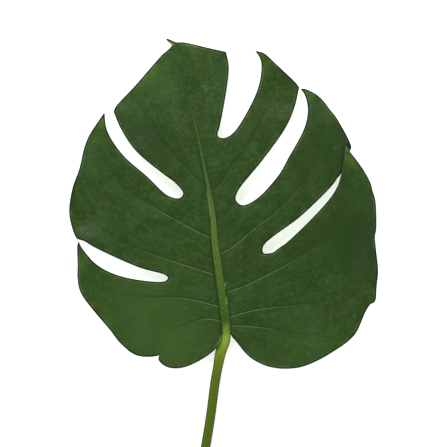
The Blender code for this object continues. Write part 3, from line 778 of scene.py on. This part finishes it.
def blade_fields(flat, loop):
    """What the shape and the finish need to know at each point of the flat pattern."""
    f = {"flat": flat, "place": true_place(flat)}
    place = f["place"]
    marks = close_set(np.vstack([loop, loop[:1]]))
    end_half = read_table(MIDRIB_HALF_WIDTH, 0.0) - MARK_STEP
    at_end = (np.abs(marks[:, 0] - MIDRIB[0][0]) < end_half) & (np.abs(marks[:, 1]) < ON_LINE)
    f["edge"] = nearest_distance(marks[~at_end], flat)
    gap, along, side = distance_along(curve_through(MIDRIB), place)
    f["reach"] = gap
    f["midrib_along"] = along
    f["half"] = read_table(MIDRIB_HALF_WIDTH, place[:, 1])
    f["across"] = -side * gap / f["half"]
    on_left = place[:, 0] < np.interp(place[:, 1], *np.array(MIDRIB).T[::-1])
    left = half_of_fan(place, LEFT_VEINS, UPPER_GUIDE, LEFT_BASE_GUIDE, -1.0)
    right = half_of_fan(place, RIGHT_VEINS, UPPER_GUIDE, RIGHT_BASE_GUIDE, 1.0)
    names = ("fan", "fan_width", "vein", "vein_along", "above")
    for name, a, b in zip(names, left, right):
        f[name] = np.where(on_left, a, b)
    return f


# Height of the blade over the surface

def polar(place):
    """Distance and direction of each place from the middle of the dome."""
    away = place - DOME_CENTRE
    return np.hypot(away[:, 0], away[:, 1]), np.arctan2(away[:, 1], away[:, 0])


def margin_reach(loop):
    """How far the margin reaches from the middle of the dome, in every direction."""
    distance, turn = polar(true_place(loop))
    turns = np.arange(-math.pi, math.pi, REACH_STEP)
    apart = np.abs(np.angle(np.exp(1j * (turn[None, :] - turns[:, None]))))
    reach = np.where(apart < REACH_SECTOR, distance[None, :], 0.0).max(axis=1)
    for _ in range(REACH_BLURS):
        reach = 0.25 * (np.roll(reach, 1) + 2.0 * reach + np.roll(reach, -1))
    return turns, reach


def dome(place, loop):
    """Height of the dome, with its soft lifts and the waves of its margin."""
    distance, turn = polar(place)
    turns, reach = margin_reach(loop)
    out = distance / np.interp(turn, turns, reach, period=2.0 * math.pi)
    height = MARGIN_STAND + DOME_HEIGHT * (1.0 - out ** DOME_POWER) + spots_at(place, LIFTS)
    for number, rise, start in MARGIN_WAVES:
        height += rise * out ** MARGIN_WAVE_POWER * np.sin(number * turn + start)
    return height


def settle(height, place):
    """Bring the blade down to the surface at each of its resting spots."""
    for spot in RESTING_SPOTS:
        away = np.hypot(*(place - spot).T)
        free = smooth_step(SPOT_RADIUS, SPOT_REACH, away)
        height = free * height - (1.0 - free) * SPOT_PRESS
    return height


def touch_down(height):
    """Lay flat on the surface whatever would hang below it, with a soft bend before it."""
    low = np.clip(height + SOFT_CONTACT, 0.0, None)
    bend = low ** 2 / (4.0 * SOFT_CONTACT)
    return np.where(height > SOFT_CONTACT, height, bend)


def sheet_height(f, loop):
    """Height of the lower face, before its ribs are added."""
    place, reach = f["place"], f["reach"]
    nearest_vein = np.minimum(f["vein"], np.clip(reach - f["half"], 0.0, None))
    sheet = dome(place, loop)
    sheet += QUILT_RISE * (1.0 - np.exp(-(nearest_vein / QUILT_WIDTH) ** 2)) - QUILT_RISE
    roll = EDGE_ROLL * smooth_step(0.0, EDGE_ROLL_FULL, reach)
    sheet -= roll * np.exp(-f["edge"] / EDGE_ROLL_WIDTH)
    off_midrib = smooth_step(*SWELLING_START, reach)
    for length, rise, seed in SWELLINGS:
        sheet += off_midrib * swelling(place, length, rise, seed)
    length, rise, seed = MARGIN_RIPPLE
    near_edge = np.exp(-f["edge"] / MARGIN_RIPPLE_REACH)
    near_edge *= smooth_step(*MARGIN_RIPPLE_START, reach)
    sheet += near_edge * swelling(place, length, rise, seed)
    crease = CREASE_DEPTH + BASE_CREASE * np.exp(-place[:, 1] / BASE_CREASE_REACH)
    crease *= smooth_step(0.0, CREASE_FADE, f["half"])
    sheet -= crease * np.exp(-((reach - CREASE_PLACE * f["half"]) / CREASE_WIDTH) ** 2)
    return settle(sheet, place)


def blade_heights(f, loop):
    """Heights of the lower and upper faces."""
    sheet = sheet_height(f, loop)
    across = np.clip(np.abs(f["across"]), 0.0, 1.0)
    arch = np.sqrt(1.0 - across ** 2)
    keel = read_table(MIDRIB_KEEL, f["place"][:, 1]) * arch
    off_midrib = smooth_step(*OFF_MIDRIB, np.abs(f["across"]))
    ridge = MIDRIB_RISE * smooth_step(0.0, MIDRIB_FADE, f["half"]) * arch

    along, gap = f["vein_along"], f["vein"]
    width = VEIN_HALF_WIDTH[0] + (VEIN_HALF_WIDTH[1] - VEIN_HALF_WIDTH[0]) * along
    depth = VEIN_KEEL[0] + (VEIN_KEEL[1] - VEIN_KEEL[0]) * along
    keel = np.maximum(keel, depth * np.clip(1.0 - (gap / width) ** 2, 0.0, 1.0))
    fading = (1.0 - VEIN_FADE * along) * off_midrib
    ridge -= GROOVE_DEPTH * fading * np.exp(-(gap / GROOVE_WIDTH) ** 2)
    ridge += VEIN_RISE * fading * np.exp(-(gap / VEIN_RISE_WIDTH) ** 2)

    spacing = f["fan_width"] / SECONDARY_VEINS
    clear = smooth_step(*SECONDARY_ROOM, spacing) * smooth_step(*SECONDARY_START, gap) * off_midrib
    clear *= smooth_step(*SECONDARY_END, f["edge"])
    wave = np.cos(2.0 * math.pi * SECONDARY_VEINS * f["fan"])
    ridge -= SECONDARY_RISE * clear * wave
    keel = keel + SECONDARY_RIB * clear * np.clip(0.5 + 0.5 * wave, 0.0, 1.0) ** 3

    thin, thick = BLADE_THICKNESS
    body = thin + (thick - thin) * smooth_step(0.0, THIN_EDGE, f["edge"])
    lift = FOLD_LIFT * smooth_step(FOLD_LIFT_START, FOLD_LIFT_END, f["flat"][:, 1])
    lift *= on_folded_lobe(f["flat"])
    upper = touch_down(sheet) + lift + body + ridge
    lower = touch_down(sheet - keel) + lift
    return lower, upper


# Materials

def shade(red, green, blue):
    """A colour from the 0 to 255 values that it shows on a screen."""
    parts = np.array([red, green, blue]) / 255.0
    linear = np.where(parts <= 0.04045, parts / 12.92, ((parts + 0.055) / 1.055) ** 2.4)
    return (*linear, 1.0)


class Field:
    """A number or colour that varies over a surface, with plain arithmetic on it."""

    def __init__(self, surface, socket):
        self.surface = surface
        self.socket = socket

    def __add__(self, other):
        return self.surface.math("ADD", self, other)

    def __sub__(self, other):
        return self.surface.math("SUBTRACT", self, other)

    def __mul__(self, other):
        return self.surface.math("MULTIPLY", self, other)

    def __truediv__(self, other):
        return self.surface.math("DIVIDE", self, other)

    __radd__ = __add__
    __rmul__ = __mul__


class Surface:
    """One material, whose colour, roughness and relief are written as short formulas."""

    def __init__(self, name):
        self.material = bpy.data.materials.new(name)
        self.material.use_nodes = True
        self.tree = self.material.node_tree
        self.shader = self.tree.nodes["Principled BSDF"]
        self.place = self.node("TexCoord", "Object")

    def put(self, socket, value):
        """Give a socket a field, a number or a colour of 0 to 255 values."""
        if isinstance(value, Field):
            self.tree.links.new(value.socket, socket)
        else:
            socket.default_value = shade(*value) if isinstance(value, tuple) else value

    def node(self, kind, result, given=None, **settings):
        """Add a node with what it is given, and read one of its results."""
        made = self.tree.nodes.new("ShaderNode" + kind)
        for name, value in settings.items():
            setattr(made, name, value)
        for name, value in (given or {}).items():
            self.put(made.inputs[name], value)
        return Field(self, made.outputs[result])

    def math(self, operation, *values):
        return self.node("Math", 0, dict(enumerate(values)), operation=operation)

    def attribute(self, name):
        return self.node("Attribute", "Fac", attribute_name=name)

    def vector(self, *values):
        return self.node("CombineXYZ", 0, dict(enumerate(values)))

    def noise(self, where, scale, detail, roughness=0.5):
        given = {"Vector": where, "Scale": scale, "Detail": detail, "Roughness": roughness}
        return self.node("TexNoise", "Fac", given)

    def cells(self, where, scale, feature="F1"):
        given = {"Vector": where, "Scale": scale}
        return self.node("TexVoronoi", "Distance", given, feature=feature)

    def strands(self, fields, names, scales, detail, roughness):
        """Noise that follows the named fields, with its own scale in each."""
        where = self.vector(*(fields[name] * scale for name, scale in zip(names, scales)))
        return self.noise(where, 1.0, detail, roughness)

    def rise(self, value, start, end, low=0.0, high=1.0):
        """Smooth change from low at start to high at end."""
        names = ("Value", "From Min", "From Max", "To Min", "To Max")
        given = dict(zip(names, (value, start, end, low, high)))
        return self.node("MapRange", "Result", given, interpolation_type="SMOOTHSTEP")

    def share(self, fields, parts):
        """Product of fields, each as it is or with a smooth change in it."""
        found = [self.rise(fields[name], *change) if change else fields[name]
                 for name, *change in parts]
        return math.prod(found[1:], start=found[0])

    def total(self, start, fields, amounts):
        """Sum of amounts, each times the product of its fields."""
        for amount, *parts in amounts:
            start = start + amount * self.share(fields, parts)
        return start

    def mix(self, share, first, second):
        """Colour that goes from the first to the second as the share goes from 0 to 1."""
        return self.node("Mix", 2, {0: share, 6: first, 7: second}, data_type="RGBA")

    def layers(self, colour, fields, layers):
        """Lay layers over a colour. A layer's own colour may be the name of a field."""
        for strength, tint, *parts in layers:
            share = strength * self.share(fields, parts)
            colour = self.mix(share, colour, fields.get(tint, tint))
        return colour

    def ramp(self, where, stops):
        """Colour read from (place, colour) stops."""
        made = self.tree.nodes.new("ShaderNodeValToRGB")
        marks = made.color_ramp.elements
        for k, (stop, colour) in enumerate(stops):
            mark = marks[k] if k < 2 else marks.new(stop)
            mark.position = stop
            mark.color = shade(*colour)
        self.put(made.inputs[0], where)
        return Field(self, made.outputs["Color"])

    def finish(self, colour, roughness, relief):
        """Connect the results. The relief is a height in millimetres."""
        bump = self.node("Bump", "Normal", {"Distance": METRES, "Height": relief})
        results = {"Base Color": colour, "Roughness": roughness, "Normal": bump}
        for name, value in results.items():
            self.put(self.shader.inputs[name], value)
        return self.material


def blade_marks(s):
    """The fields of the blade, and the noise, veins and colours made from them."""
    d = {name: s.attribute(name) for name in (*BLADE_FIELDS, "face_up")}
    d["signed_across"] = d["across"]
    d["across"] = s.math("ABSOLUTE", d["across"])
    d |= {name: s.noise(s.place, *noise) for name, noise in BLADE_NOISE.items()}
    d |= {name: s.strands(d, *strand) for name, strand in BLADE_STRANDS.items()}
    d["mottle"] = s.rise(d["mottle"], *MOTTLE_RANGE)
    d["tint"] = s.rise(d["tint"], *TINT_RANGE)
    d["face_sign"] = 2.0 * d["face_up"] - 1.0
    d["sunlit"] = d["sunny"] * (SUNNY_SHARES[0] + SUNNY_SHARES[1] * d["mottle"])
    d["shadow_side"] = SHADOW_SHARES[0] + SHADOW_SHARES[1] * d["above"]
    d["specks"] = d["specks"] + DUSTY_SPECKS * d["dusty"]
    d["speck"] = s.cells(s.place, SPECK_SCALE)
    d["net"] = s.rise(s.cells(s.place, NET_SCALE, "DISTANCE_TO_EDGE"), *NET_LINE)
    d["spacing"] = d["fan_width"] / SECONDARY_VEINS
    wander = FINE_VEIN_WANDER * (d["streak"] - 0.5)
    away = s.math("PINGPONG", d["fan"] * SECONDARY_VEINS + wander, 0.5)
    d["to_line"] = away * d["spacing"]
    d["secondary"] = s.share(d, FINE_VEIN)
    d["midrib_across"] = d["across"] / s.rise(d["midrib_along"], *MIDRIB_NARROWING)
    # The painted highlight stripe, a little left of the midrib's middle and widest at the blade
    # base
    reach = s.rise(d["midrib_along"], *HIGHLIGHT_WIDENING)
    off_highlight = s.math("ABSOLUTE", d["signed_across"] - HIGHLIGHT_PLACE)
    d["highlight_stripe"] = s.rise(off_highlight, reach, HIGHLIGHT_CORE)
    d["midrib_green"] = s.layers(s.ramp(d["midrib_along"], MIDRIB_STOPS), d, MIDRIB_LAYERS)
    # The margin's line of painted shade, pale instead where the edge line is pale
    d["edge_shade_line"] = s.mix(d["pale_edge"], EDGE_SHADE, EDGE_PALE)
    return d


def blade_material():
    """Satin dark green above, paler and matt below. The colour above holds painted shade in the
    creases, along the margin and beside the fold, and a painted highlight at the midrib's base.
    """
    s = Surface("leaf_blade_finish")
    d = blade_marks(s)
    upper = s.layers(s.mix(d["tint"], LEAF_OLIVE, LEAF_GREEN), d, UPPER_LAYERS)
    lower = s.layers(s.mix(d["mottle"], UNDER_GREEN, UNDER_PALE), d, UNDER_LAYERS)
    s.shader.inputs["Specular IOR Level"].default_value = BLADE_SPECULAR
    return s.finish(s.mix(d["face_up"], lower, upper), s.total(ROUGHNESS, d, BLADE_ROUGHNESS),
                    s.total(0.0, d, BLADE_RELIEF))


def stalk_material():
    """Yellow-green at the knee and olive below, finely streaked, with painted shade down its sides
    and a pale wet cut.
    """
    s = Surface("petiole_finish")
    d = {name: s.attribute(name) for name in STALK_FIELDS}
    d |= {name: s.strands(d, *strand) for name, strand in STALK_STRANDS.items()}
    d["aside"] = s.math("ABSOLUTE", d["round_x"])
    out = d["cut_out"] * CUT_STRAND_SCALE
    d["cut_strand"] = s.cells(s.vector(d["round_x"] * out, d["round_y"] * out), 1.0)
    d["cut_face"] = s.layers(CUT_PITH, d, CUT_LAYERS)
    colour = s.layers(s.ramp(d["stalk_along"], STALK_STOPS), d, STALK_LAYERS)
    s.shader.inputs["Specular IOR Level"].default_value = STALK_SPECULAR
    return s.finish(colour, s.total(ROUGHNESS, d, STALK_ROUGHNESS), s.total(0.0, d, STALK_RELIEF))


def floor_material():
    """Plain pale paper-white, with the least unevenness."""
    s = Surface("studio_floor")
    grain = s.noise(s.place, *FLOOR_GRAIN)
    s.shader.inputs["Emission Color"].default_value = WHITE
    s.shader.inputs["Emission Strength"].default_value = TABLE_GLOW
    return s.finish(s.mix(grain, *FLOOR_COLOURS), FLOOR_ROUGHNESS, FLOOR_RELIEF * grain)


# Meshes

def in_frame(place, height):
    """Points in metres in the part's own frame."""
    x = place[:, 0] + BLADE_BASE[0]
    y = place[:, 1] + BLADE_BASE[1]
    return np.column_stack([x, y, height]) * METRES


def margin_edges(triangles):
    """Edges that only one triangle has, in the direction it goes round them."""
    edges = {(t[k], t[(k + 1) % 3]) for t in triangles for k in range(3)}
    return sorted((a, b) for a, b in edges if (b, a) not in edges)


def rim_points(place, lower, upper, edges):
    """One point midway down the rim at each margin point, a little proud of both faces."""
    outward = {}
    for a, b in edges:
        run = place[b] - place[a]
        away = np.array([run[1], -run[0]]) / max(np.hypot(*run), 1e-9)
        for end in (a, b):
            outward[end] = outward.get(end, 0.0) + away
    order = sorted(outward)
    spots = []
    for k in order:
        away = outward[k] / max(np.hypot(*outward[k]), 1e-9)
        spots.append((*(place[k] + RIM_BULGE * away), 0.5 * (lower[k] + upper[k])))
    return order, np.array(spots)


def blade_faces(triangles, count, edges, order):
    """Faces of the sheet: upper points first, then the lower ones, then the rim's."""
    rim = {k: 2 * count + n for n, k in enumerate(order)}
    faces = list(triangles)
    faces += [(c + count, b + count, a + count) for a, b, c in triangles]
    for a, b in edges:
        for p, q, r, t in ((a, b, rim[a], rim[b]), (rim[a], rim[b], a + count, b + count)):
            faces.append((p, r, t))
            faces.append((p, t, q))
    return faces


def place_object(name, data):
    """Put an object made of this mesh, lamp or lens into the scene."""
    made = bpy.data.objects.new(name, data)
    bpy.context.scene.collection.objects.link(made)
    return made


def add_piece(name, points, faces, material, fields):
    """Make one mesh object, with the fields that its material reads."""
    mesh = bpy.data.meshes.new(name)
    mesh.from_pydata([tuple(p) for p in points], [], faces)
    mesh.shade_smooth()
    mesh.materials.append(material)
    for field, values in fields.items():
        made = mesh.attributes.new(field, "FLOAT", "POINT")
        made.data.foreach_set("value", np.asarray(values, np.float32))
    return place_object(name, mesh)


def joint_profile(f, lower, upper):
    """Section of the midrib's end, where the stalk meets it: places across and heights."""
    at_end = (np.abs(f["flat"][:, 1]) < ON_LINE) & (np.abs(f["across"]) < JOINT_REACH)
    across = f["flat"][at_end, 0] - MIDRIB[0][0]
    order = np.argsort(across)
    return across[order], lower[at_end][order], upper[at_end][order]


def add_marks(f):
    """Where the blade is sunny, darker or lighter, painted with shade beside the fold, dusty,
    scarred or pale-edged.
    """
    flat, place = f["flat"], f["place"]
    folded = on_folded_lobe(flat)
    f["sunny"] = np.where(folded > 0.5, spots_at(place, SUNNY_FOLD), spots_at(place, SUNNY_SPOTS))
    f["tone"] = spots_at(place, BROAD_SHADES)
    # Painted shade in the corner beside the fold, not on the folded lobe itself
    f["fold_shade"] = (1.0 - folded) * strokes_at(place, FOLD_SHADE_STROKES)
    f["dusty"] = spots_at(place, DUSTY_SPOTS)
    f["scar"] = strokes_at(place, SCARS)
    along_fold = 1.0 - smooth_step(*PALE_FOLD_WIDTH, past_divider(flat) - fold_shift(flat[:, 1]))
    on_tip = smooth_step(*PALE_FOLD_RISE, flat[:, 1])
    on_fold = folded * along_fold * (PALE_FOLD[0] + (PALE_FOLD[1] - PALE_FOLD[0]) * on_tip)
    f["pale_edge"] = np.clip(on_fold + spots_at(place, PALE_EDGES), 0.0, 1.0)


def make_blade():
    """The blade: one thin closed sheet with a rounded rim."""
    loop = margin_outline(EDGE_STEP, EDGE_CHORD)
    flat, triangles = flat_pattern(loop)
    f = blade_fields(flat, loop)
    add_marks(f)
    lower, upper = blade_heights(f, loop)
    edges = margin_edges(triangles)
    order, rim = rim_points(f["place"], lower, upper, edges)
    points = np.vstack([in_frame(f["place"], upper), in_frame(f["place"], lower),
                        in_frame(rim[:, :2], rim[:, 2])])
    faces = blade_faces(triangles, len(flat), edges, order)
    fields = {name: np.concatenate([f[name], f[name], f[name][order]]) for name in BLADE_FIELDS}
    fields["face_up"] = np.repeat([1.0, 0.0, 0.5], [len(flat), len(flat), len(order)])
    blade = add_piece("monstera_blade", points, faces, blade_material(), fields)
    return blade, joint_profile(f, lower, upper)


def stalk_stations():
    """Middle, heading and radius of the stalk at even steps along it."""
    curve = curve_through(STALK_PATH)
    length = lengths_along(curve)
    count = round(length[-1] / STALK_STEP)
    wanted = np.linspace(0.0, length[-1], count + 1)
    middle = points_at(curve, length, wanted)
    heading = headings(middle)
    heading[0] = (0.0, -1.0)
    spread = np.linspace(-STALK_RADIUS_BLUR, STALK_RADIUS_BLUR, 9)
    radius = np.mean([read_table(STALK_RADIUS, wanted + k) for k in spread], axis=0)
    return wanted, middle, heading, radius


def ring_of(middle, heading, height, sizes, turn, slant):
    """One ring of points round the stalk."""
    side = np.array([-heading[1], heading[0]])
    up = sizes * np.sin(turn)
    flat = middle + np.outer(sizes * np.cos(turn), side) + np.outer(slant * up, heading)
    return np.column_stack([flat, np.maximum(0.0, height + up)])


def fit_to_midrib(ring, turn, half, proud, share, joint):
    """Blend a ring's heights towards the section of the midrib's end."""
    across, lower, upper = joint
    x = half * np.cos(turn)
    above = np.interp(x, across, upper) + proud
    below = np.interp(x, across, lower) - proud
    level = np.where(np.sin(turn) > 0.0, above, below)
    ring[:, 2] += share * (level - ring[:, 2])
    return ring


def rod_faces(rings):
    """Faces of a rod of rings, whose two end points come after the points of the rings."""
    faces = []
    for k in range(rings - 1):
        for j in range(STALK_SIDES):
            a, b = k * STALK_SIDES + j, k * STALK_SIDES + (j + 1) % STALK_SIDES
            faces.append((a, b, b + STALK_SIDES, a + STALK_SIDES))
    first = rings * STALK_SIDES
    start = first - STALK_SIDES
    for j in range(STALK_SIDES):
        after = (j + 1) % STALK_SIDES
        faces.append((first, after, j))
        faces.append((first + 1, start + j, start + after))
    return faces


def make_stalk(joint):
    """The stalk: a round rod that lies on the surface, with a knee at the blade."""
    along, middle, heading, radius = stalk_stations()
    free = 1.0 - smooth_step(0.0, STALK_SETTLE, along)
    height = radius + free * (STALK_JOINT_HEIGHT - radius)
    turn = np.linspace(0.0, 2.0 * math.pi, STALK_SIDES, endpoint=False) - 0.5 * math.pi
    from_top = np.abs(np.angle(np.exp(1j * (turn - 0.5 * math.pi))))
    channel = CHANNEL_DEPTH * np.exp(-(from_top / CHANNEL_HALF_ANGLE) ** 2)
    slant = CUT_SLANT * np.clip(1.0 - (along[-1] - along) / CUT_SLANT_LENGTH, 0.0, 1.0)
    on_knee = smooth_step(*KNEE_START, along) * (1.0 - smooth_step(*KNEE_END, along))
    wrinkle = KNEE_WRINKLE * on_knee * np.sin(2.0 * math.pi * along / KNEE_WRINKLE_PITCH)
    rings, reads = [], []

    def keep(ring, k, cut, out):
        rings.append(ring)
        ones = np.ones(STALK_SIDES)
        reads.append((along[k] / along[-1] * ones, cut * ones, out * ones,
                      np.cos(turn), np.sin(turn)))

    tuck = middle[0] - heading[0] * STALK_TUCK
    size = STALK_TUCK_WIDTH * radius[0]
    start = ring_of(tuck, heading[0], height[0], size * np.ones(STALK_SIDES), turn, 0.0)
    keep(fit_to_midrib(start, turn, size, JOINT_PROUD[0], 1.0, joint), 0, 0.0, 1.0)
    for k, r in enumerate(radius):
        grooved = 1.0 - channel * smooth_step(CHANNEL_START, CHANNEL_FULL, along[k])
        ridges = STALK_RIDGE_RISE * np.cos(STALK_RIDGES * turn + STALK_RIDGE_TWIST * along[k])
        even, uneven = KNEE_WRINKLE_SHARES
        uneven = uneven * np.cos(KNEE_WRINKLE_BREAKS * turn + along[k])
        sizes = r * grooved + ridges + wrinkle[k] * (even + uneven)
        ring = ring_of(middle[k], heading[k], height[k], sizes, turn, slant[k])
        share = 1.0 - smooth_step(0.0, JOINT_BLEND, along[k])
        keep(fit_to_midrib(ring, turn, r, JOINT_PROUD[1], share, joint), k, 0.0, 1.0)
    last = len(radius) - 1
    for share in CUT_RINGS:
        sunk = middle[last] - heading[last] * CUT_HOLLOW * (1.0 - share ** 2)
        sizes = radius[last] * share * grooved
        ring = ring_of(sunk, heading[last], height[last], sizes, turn, slant[last])
        keep(ring, last, 1.0, share)

    points = np.vstack([*rings, rings[0].mean(axis=0), rings[-1].mean(axis=0)])
    fields = {name: np.concatenate([*values, ends])
              for (name, ends), values in zip(STALK_FIELDS.items(), zip(*reads))}
    placed = in_frame(points[:, :2], points[:, 2])
    return add_piece("monstera_stalk", placed, rod_faces(len(rings)), stalk_material(), fields)


# Stage

def make_floor():
    """A plain pale floor, wide enough to fill every view."""
    mesh = bpy.data.meshes.new("floor")
    reach, low = TABLE_REACH, -TABLE_DEPTH * METRES
    corners = [(x * reach, y * reach, low) for x, y in ((-1, -1), (1, -1), (1, 1), (-1, 1))]
    mesh.from_pydata(corners, [], [(0, 1, 2, 3)])
    mesh.materials.append(floor_material())
    return place_object("floor", mesh)


def add_key_light():
    """One square soft light that faces the leaf."""
    lamp = bpy.data.lights.new("key", "AREA")
    lamp.shape = "SQUARE"
    lamp.size = KEY_SIZE
    lamp.energy = KEY_POWER
    made = place_object("key", lamp)
    made.location = KEY_PLACE
    made.rotation_mode = "QUATERNION"
    made.rotation_quaternion = (Vector(KEY_TARGET) - made.location).to_track_quat("-Z", "Y")
    made.visible_camera = False


def light_room():
    """Even light from all round that is dimmer overhead."""
    world = bpy.data.worlds.new("studio")
    world.use_nodes = True
    tree = world.node_tree
    place = tree.nodes.new("ShaderNodeTexCoord")
    split = tree.nodes.new("ShaderNodeSeparateXYZ")
    fade = tree.nodes.new("ShaderNodeMapRange")
    fade.interpolation_type = "SMOOTHSTEP"
    for name, value in zip(("From Min", "From Max", "To Min", "To Max"), ROOM_FADE + ROOM_LIGHT):
        fade.inputs[name].default_value = value
    tree.links.new(place.outputs["Generated"], split.inputs[0])
    tree.links.new(split.outputs["Z"], fade.inputs["Value"])
    tree.links.new(fade.outputs["Result"], tree.nodes["Background"].inputs["Strength"])
    tree.nodes["Background"].inputs["Color"].default_value = WHITE
    bpy.context.scene.world = world


def add_camera():
    """The photograph's view: straight down on the laid leaf."""
    lens = bpy.data.cameras.new("camera")
    lens.sensor_width = SENSOR
    lens.lens = SENSOR * VIEW_DISTANCE / VIEW_WIDTH
    lens.clip_start, lens.clip_end = VIEW_CLIP
    made = place_object("camera", lens)
    made.location = (*VIEW_CENTRE, VIEW_PLANE + VIEW_DISTANCE)
    bpy.context.scene.camera = made


def main():
    bpy.context.scene.view_settings.view_transform = "Standard"
    blade, joint = make_blade()
    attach(blade, "root")
    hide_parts("leaf_blade")
    stalk = make_stalk(joint)
    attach(stalk, "root")
    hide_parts("petiole")
    floor = make_floor()
    light_room()
    add_key_light()
    add_camera()


main()
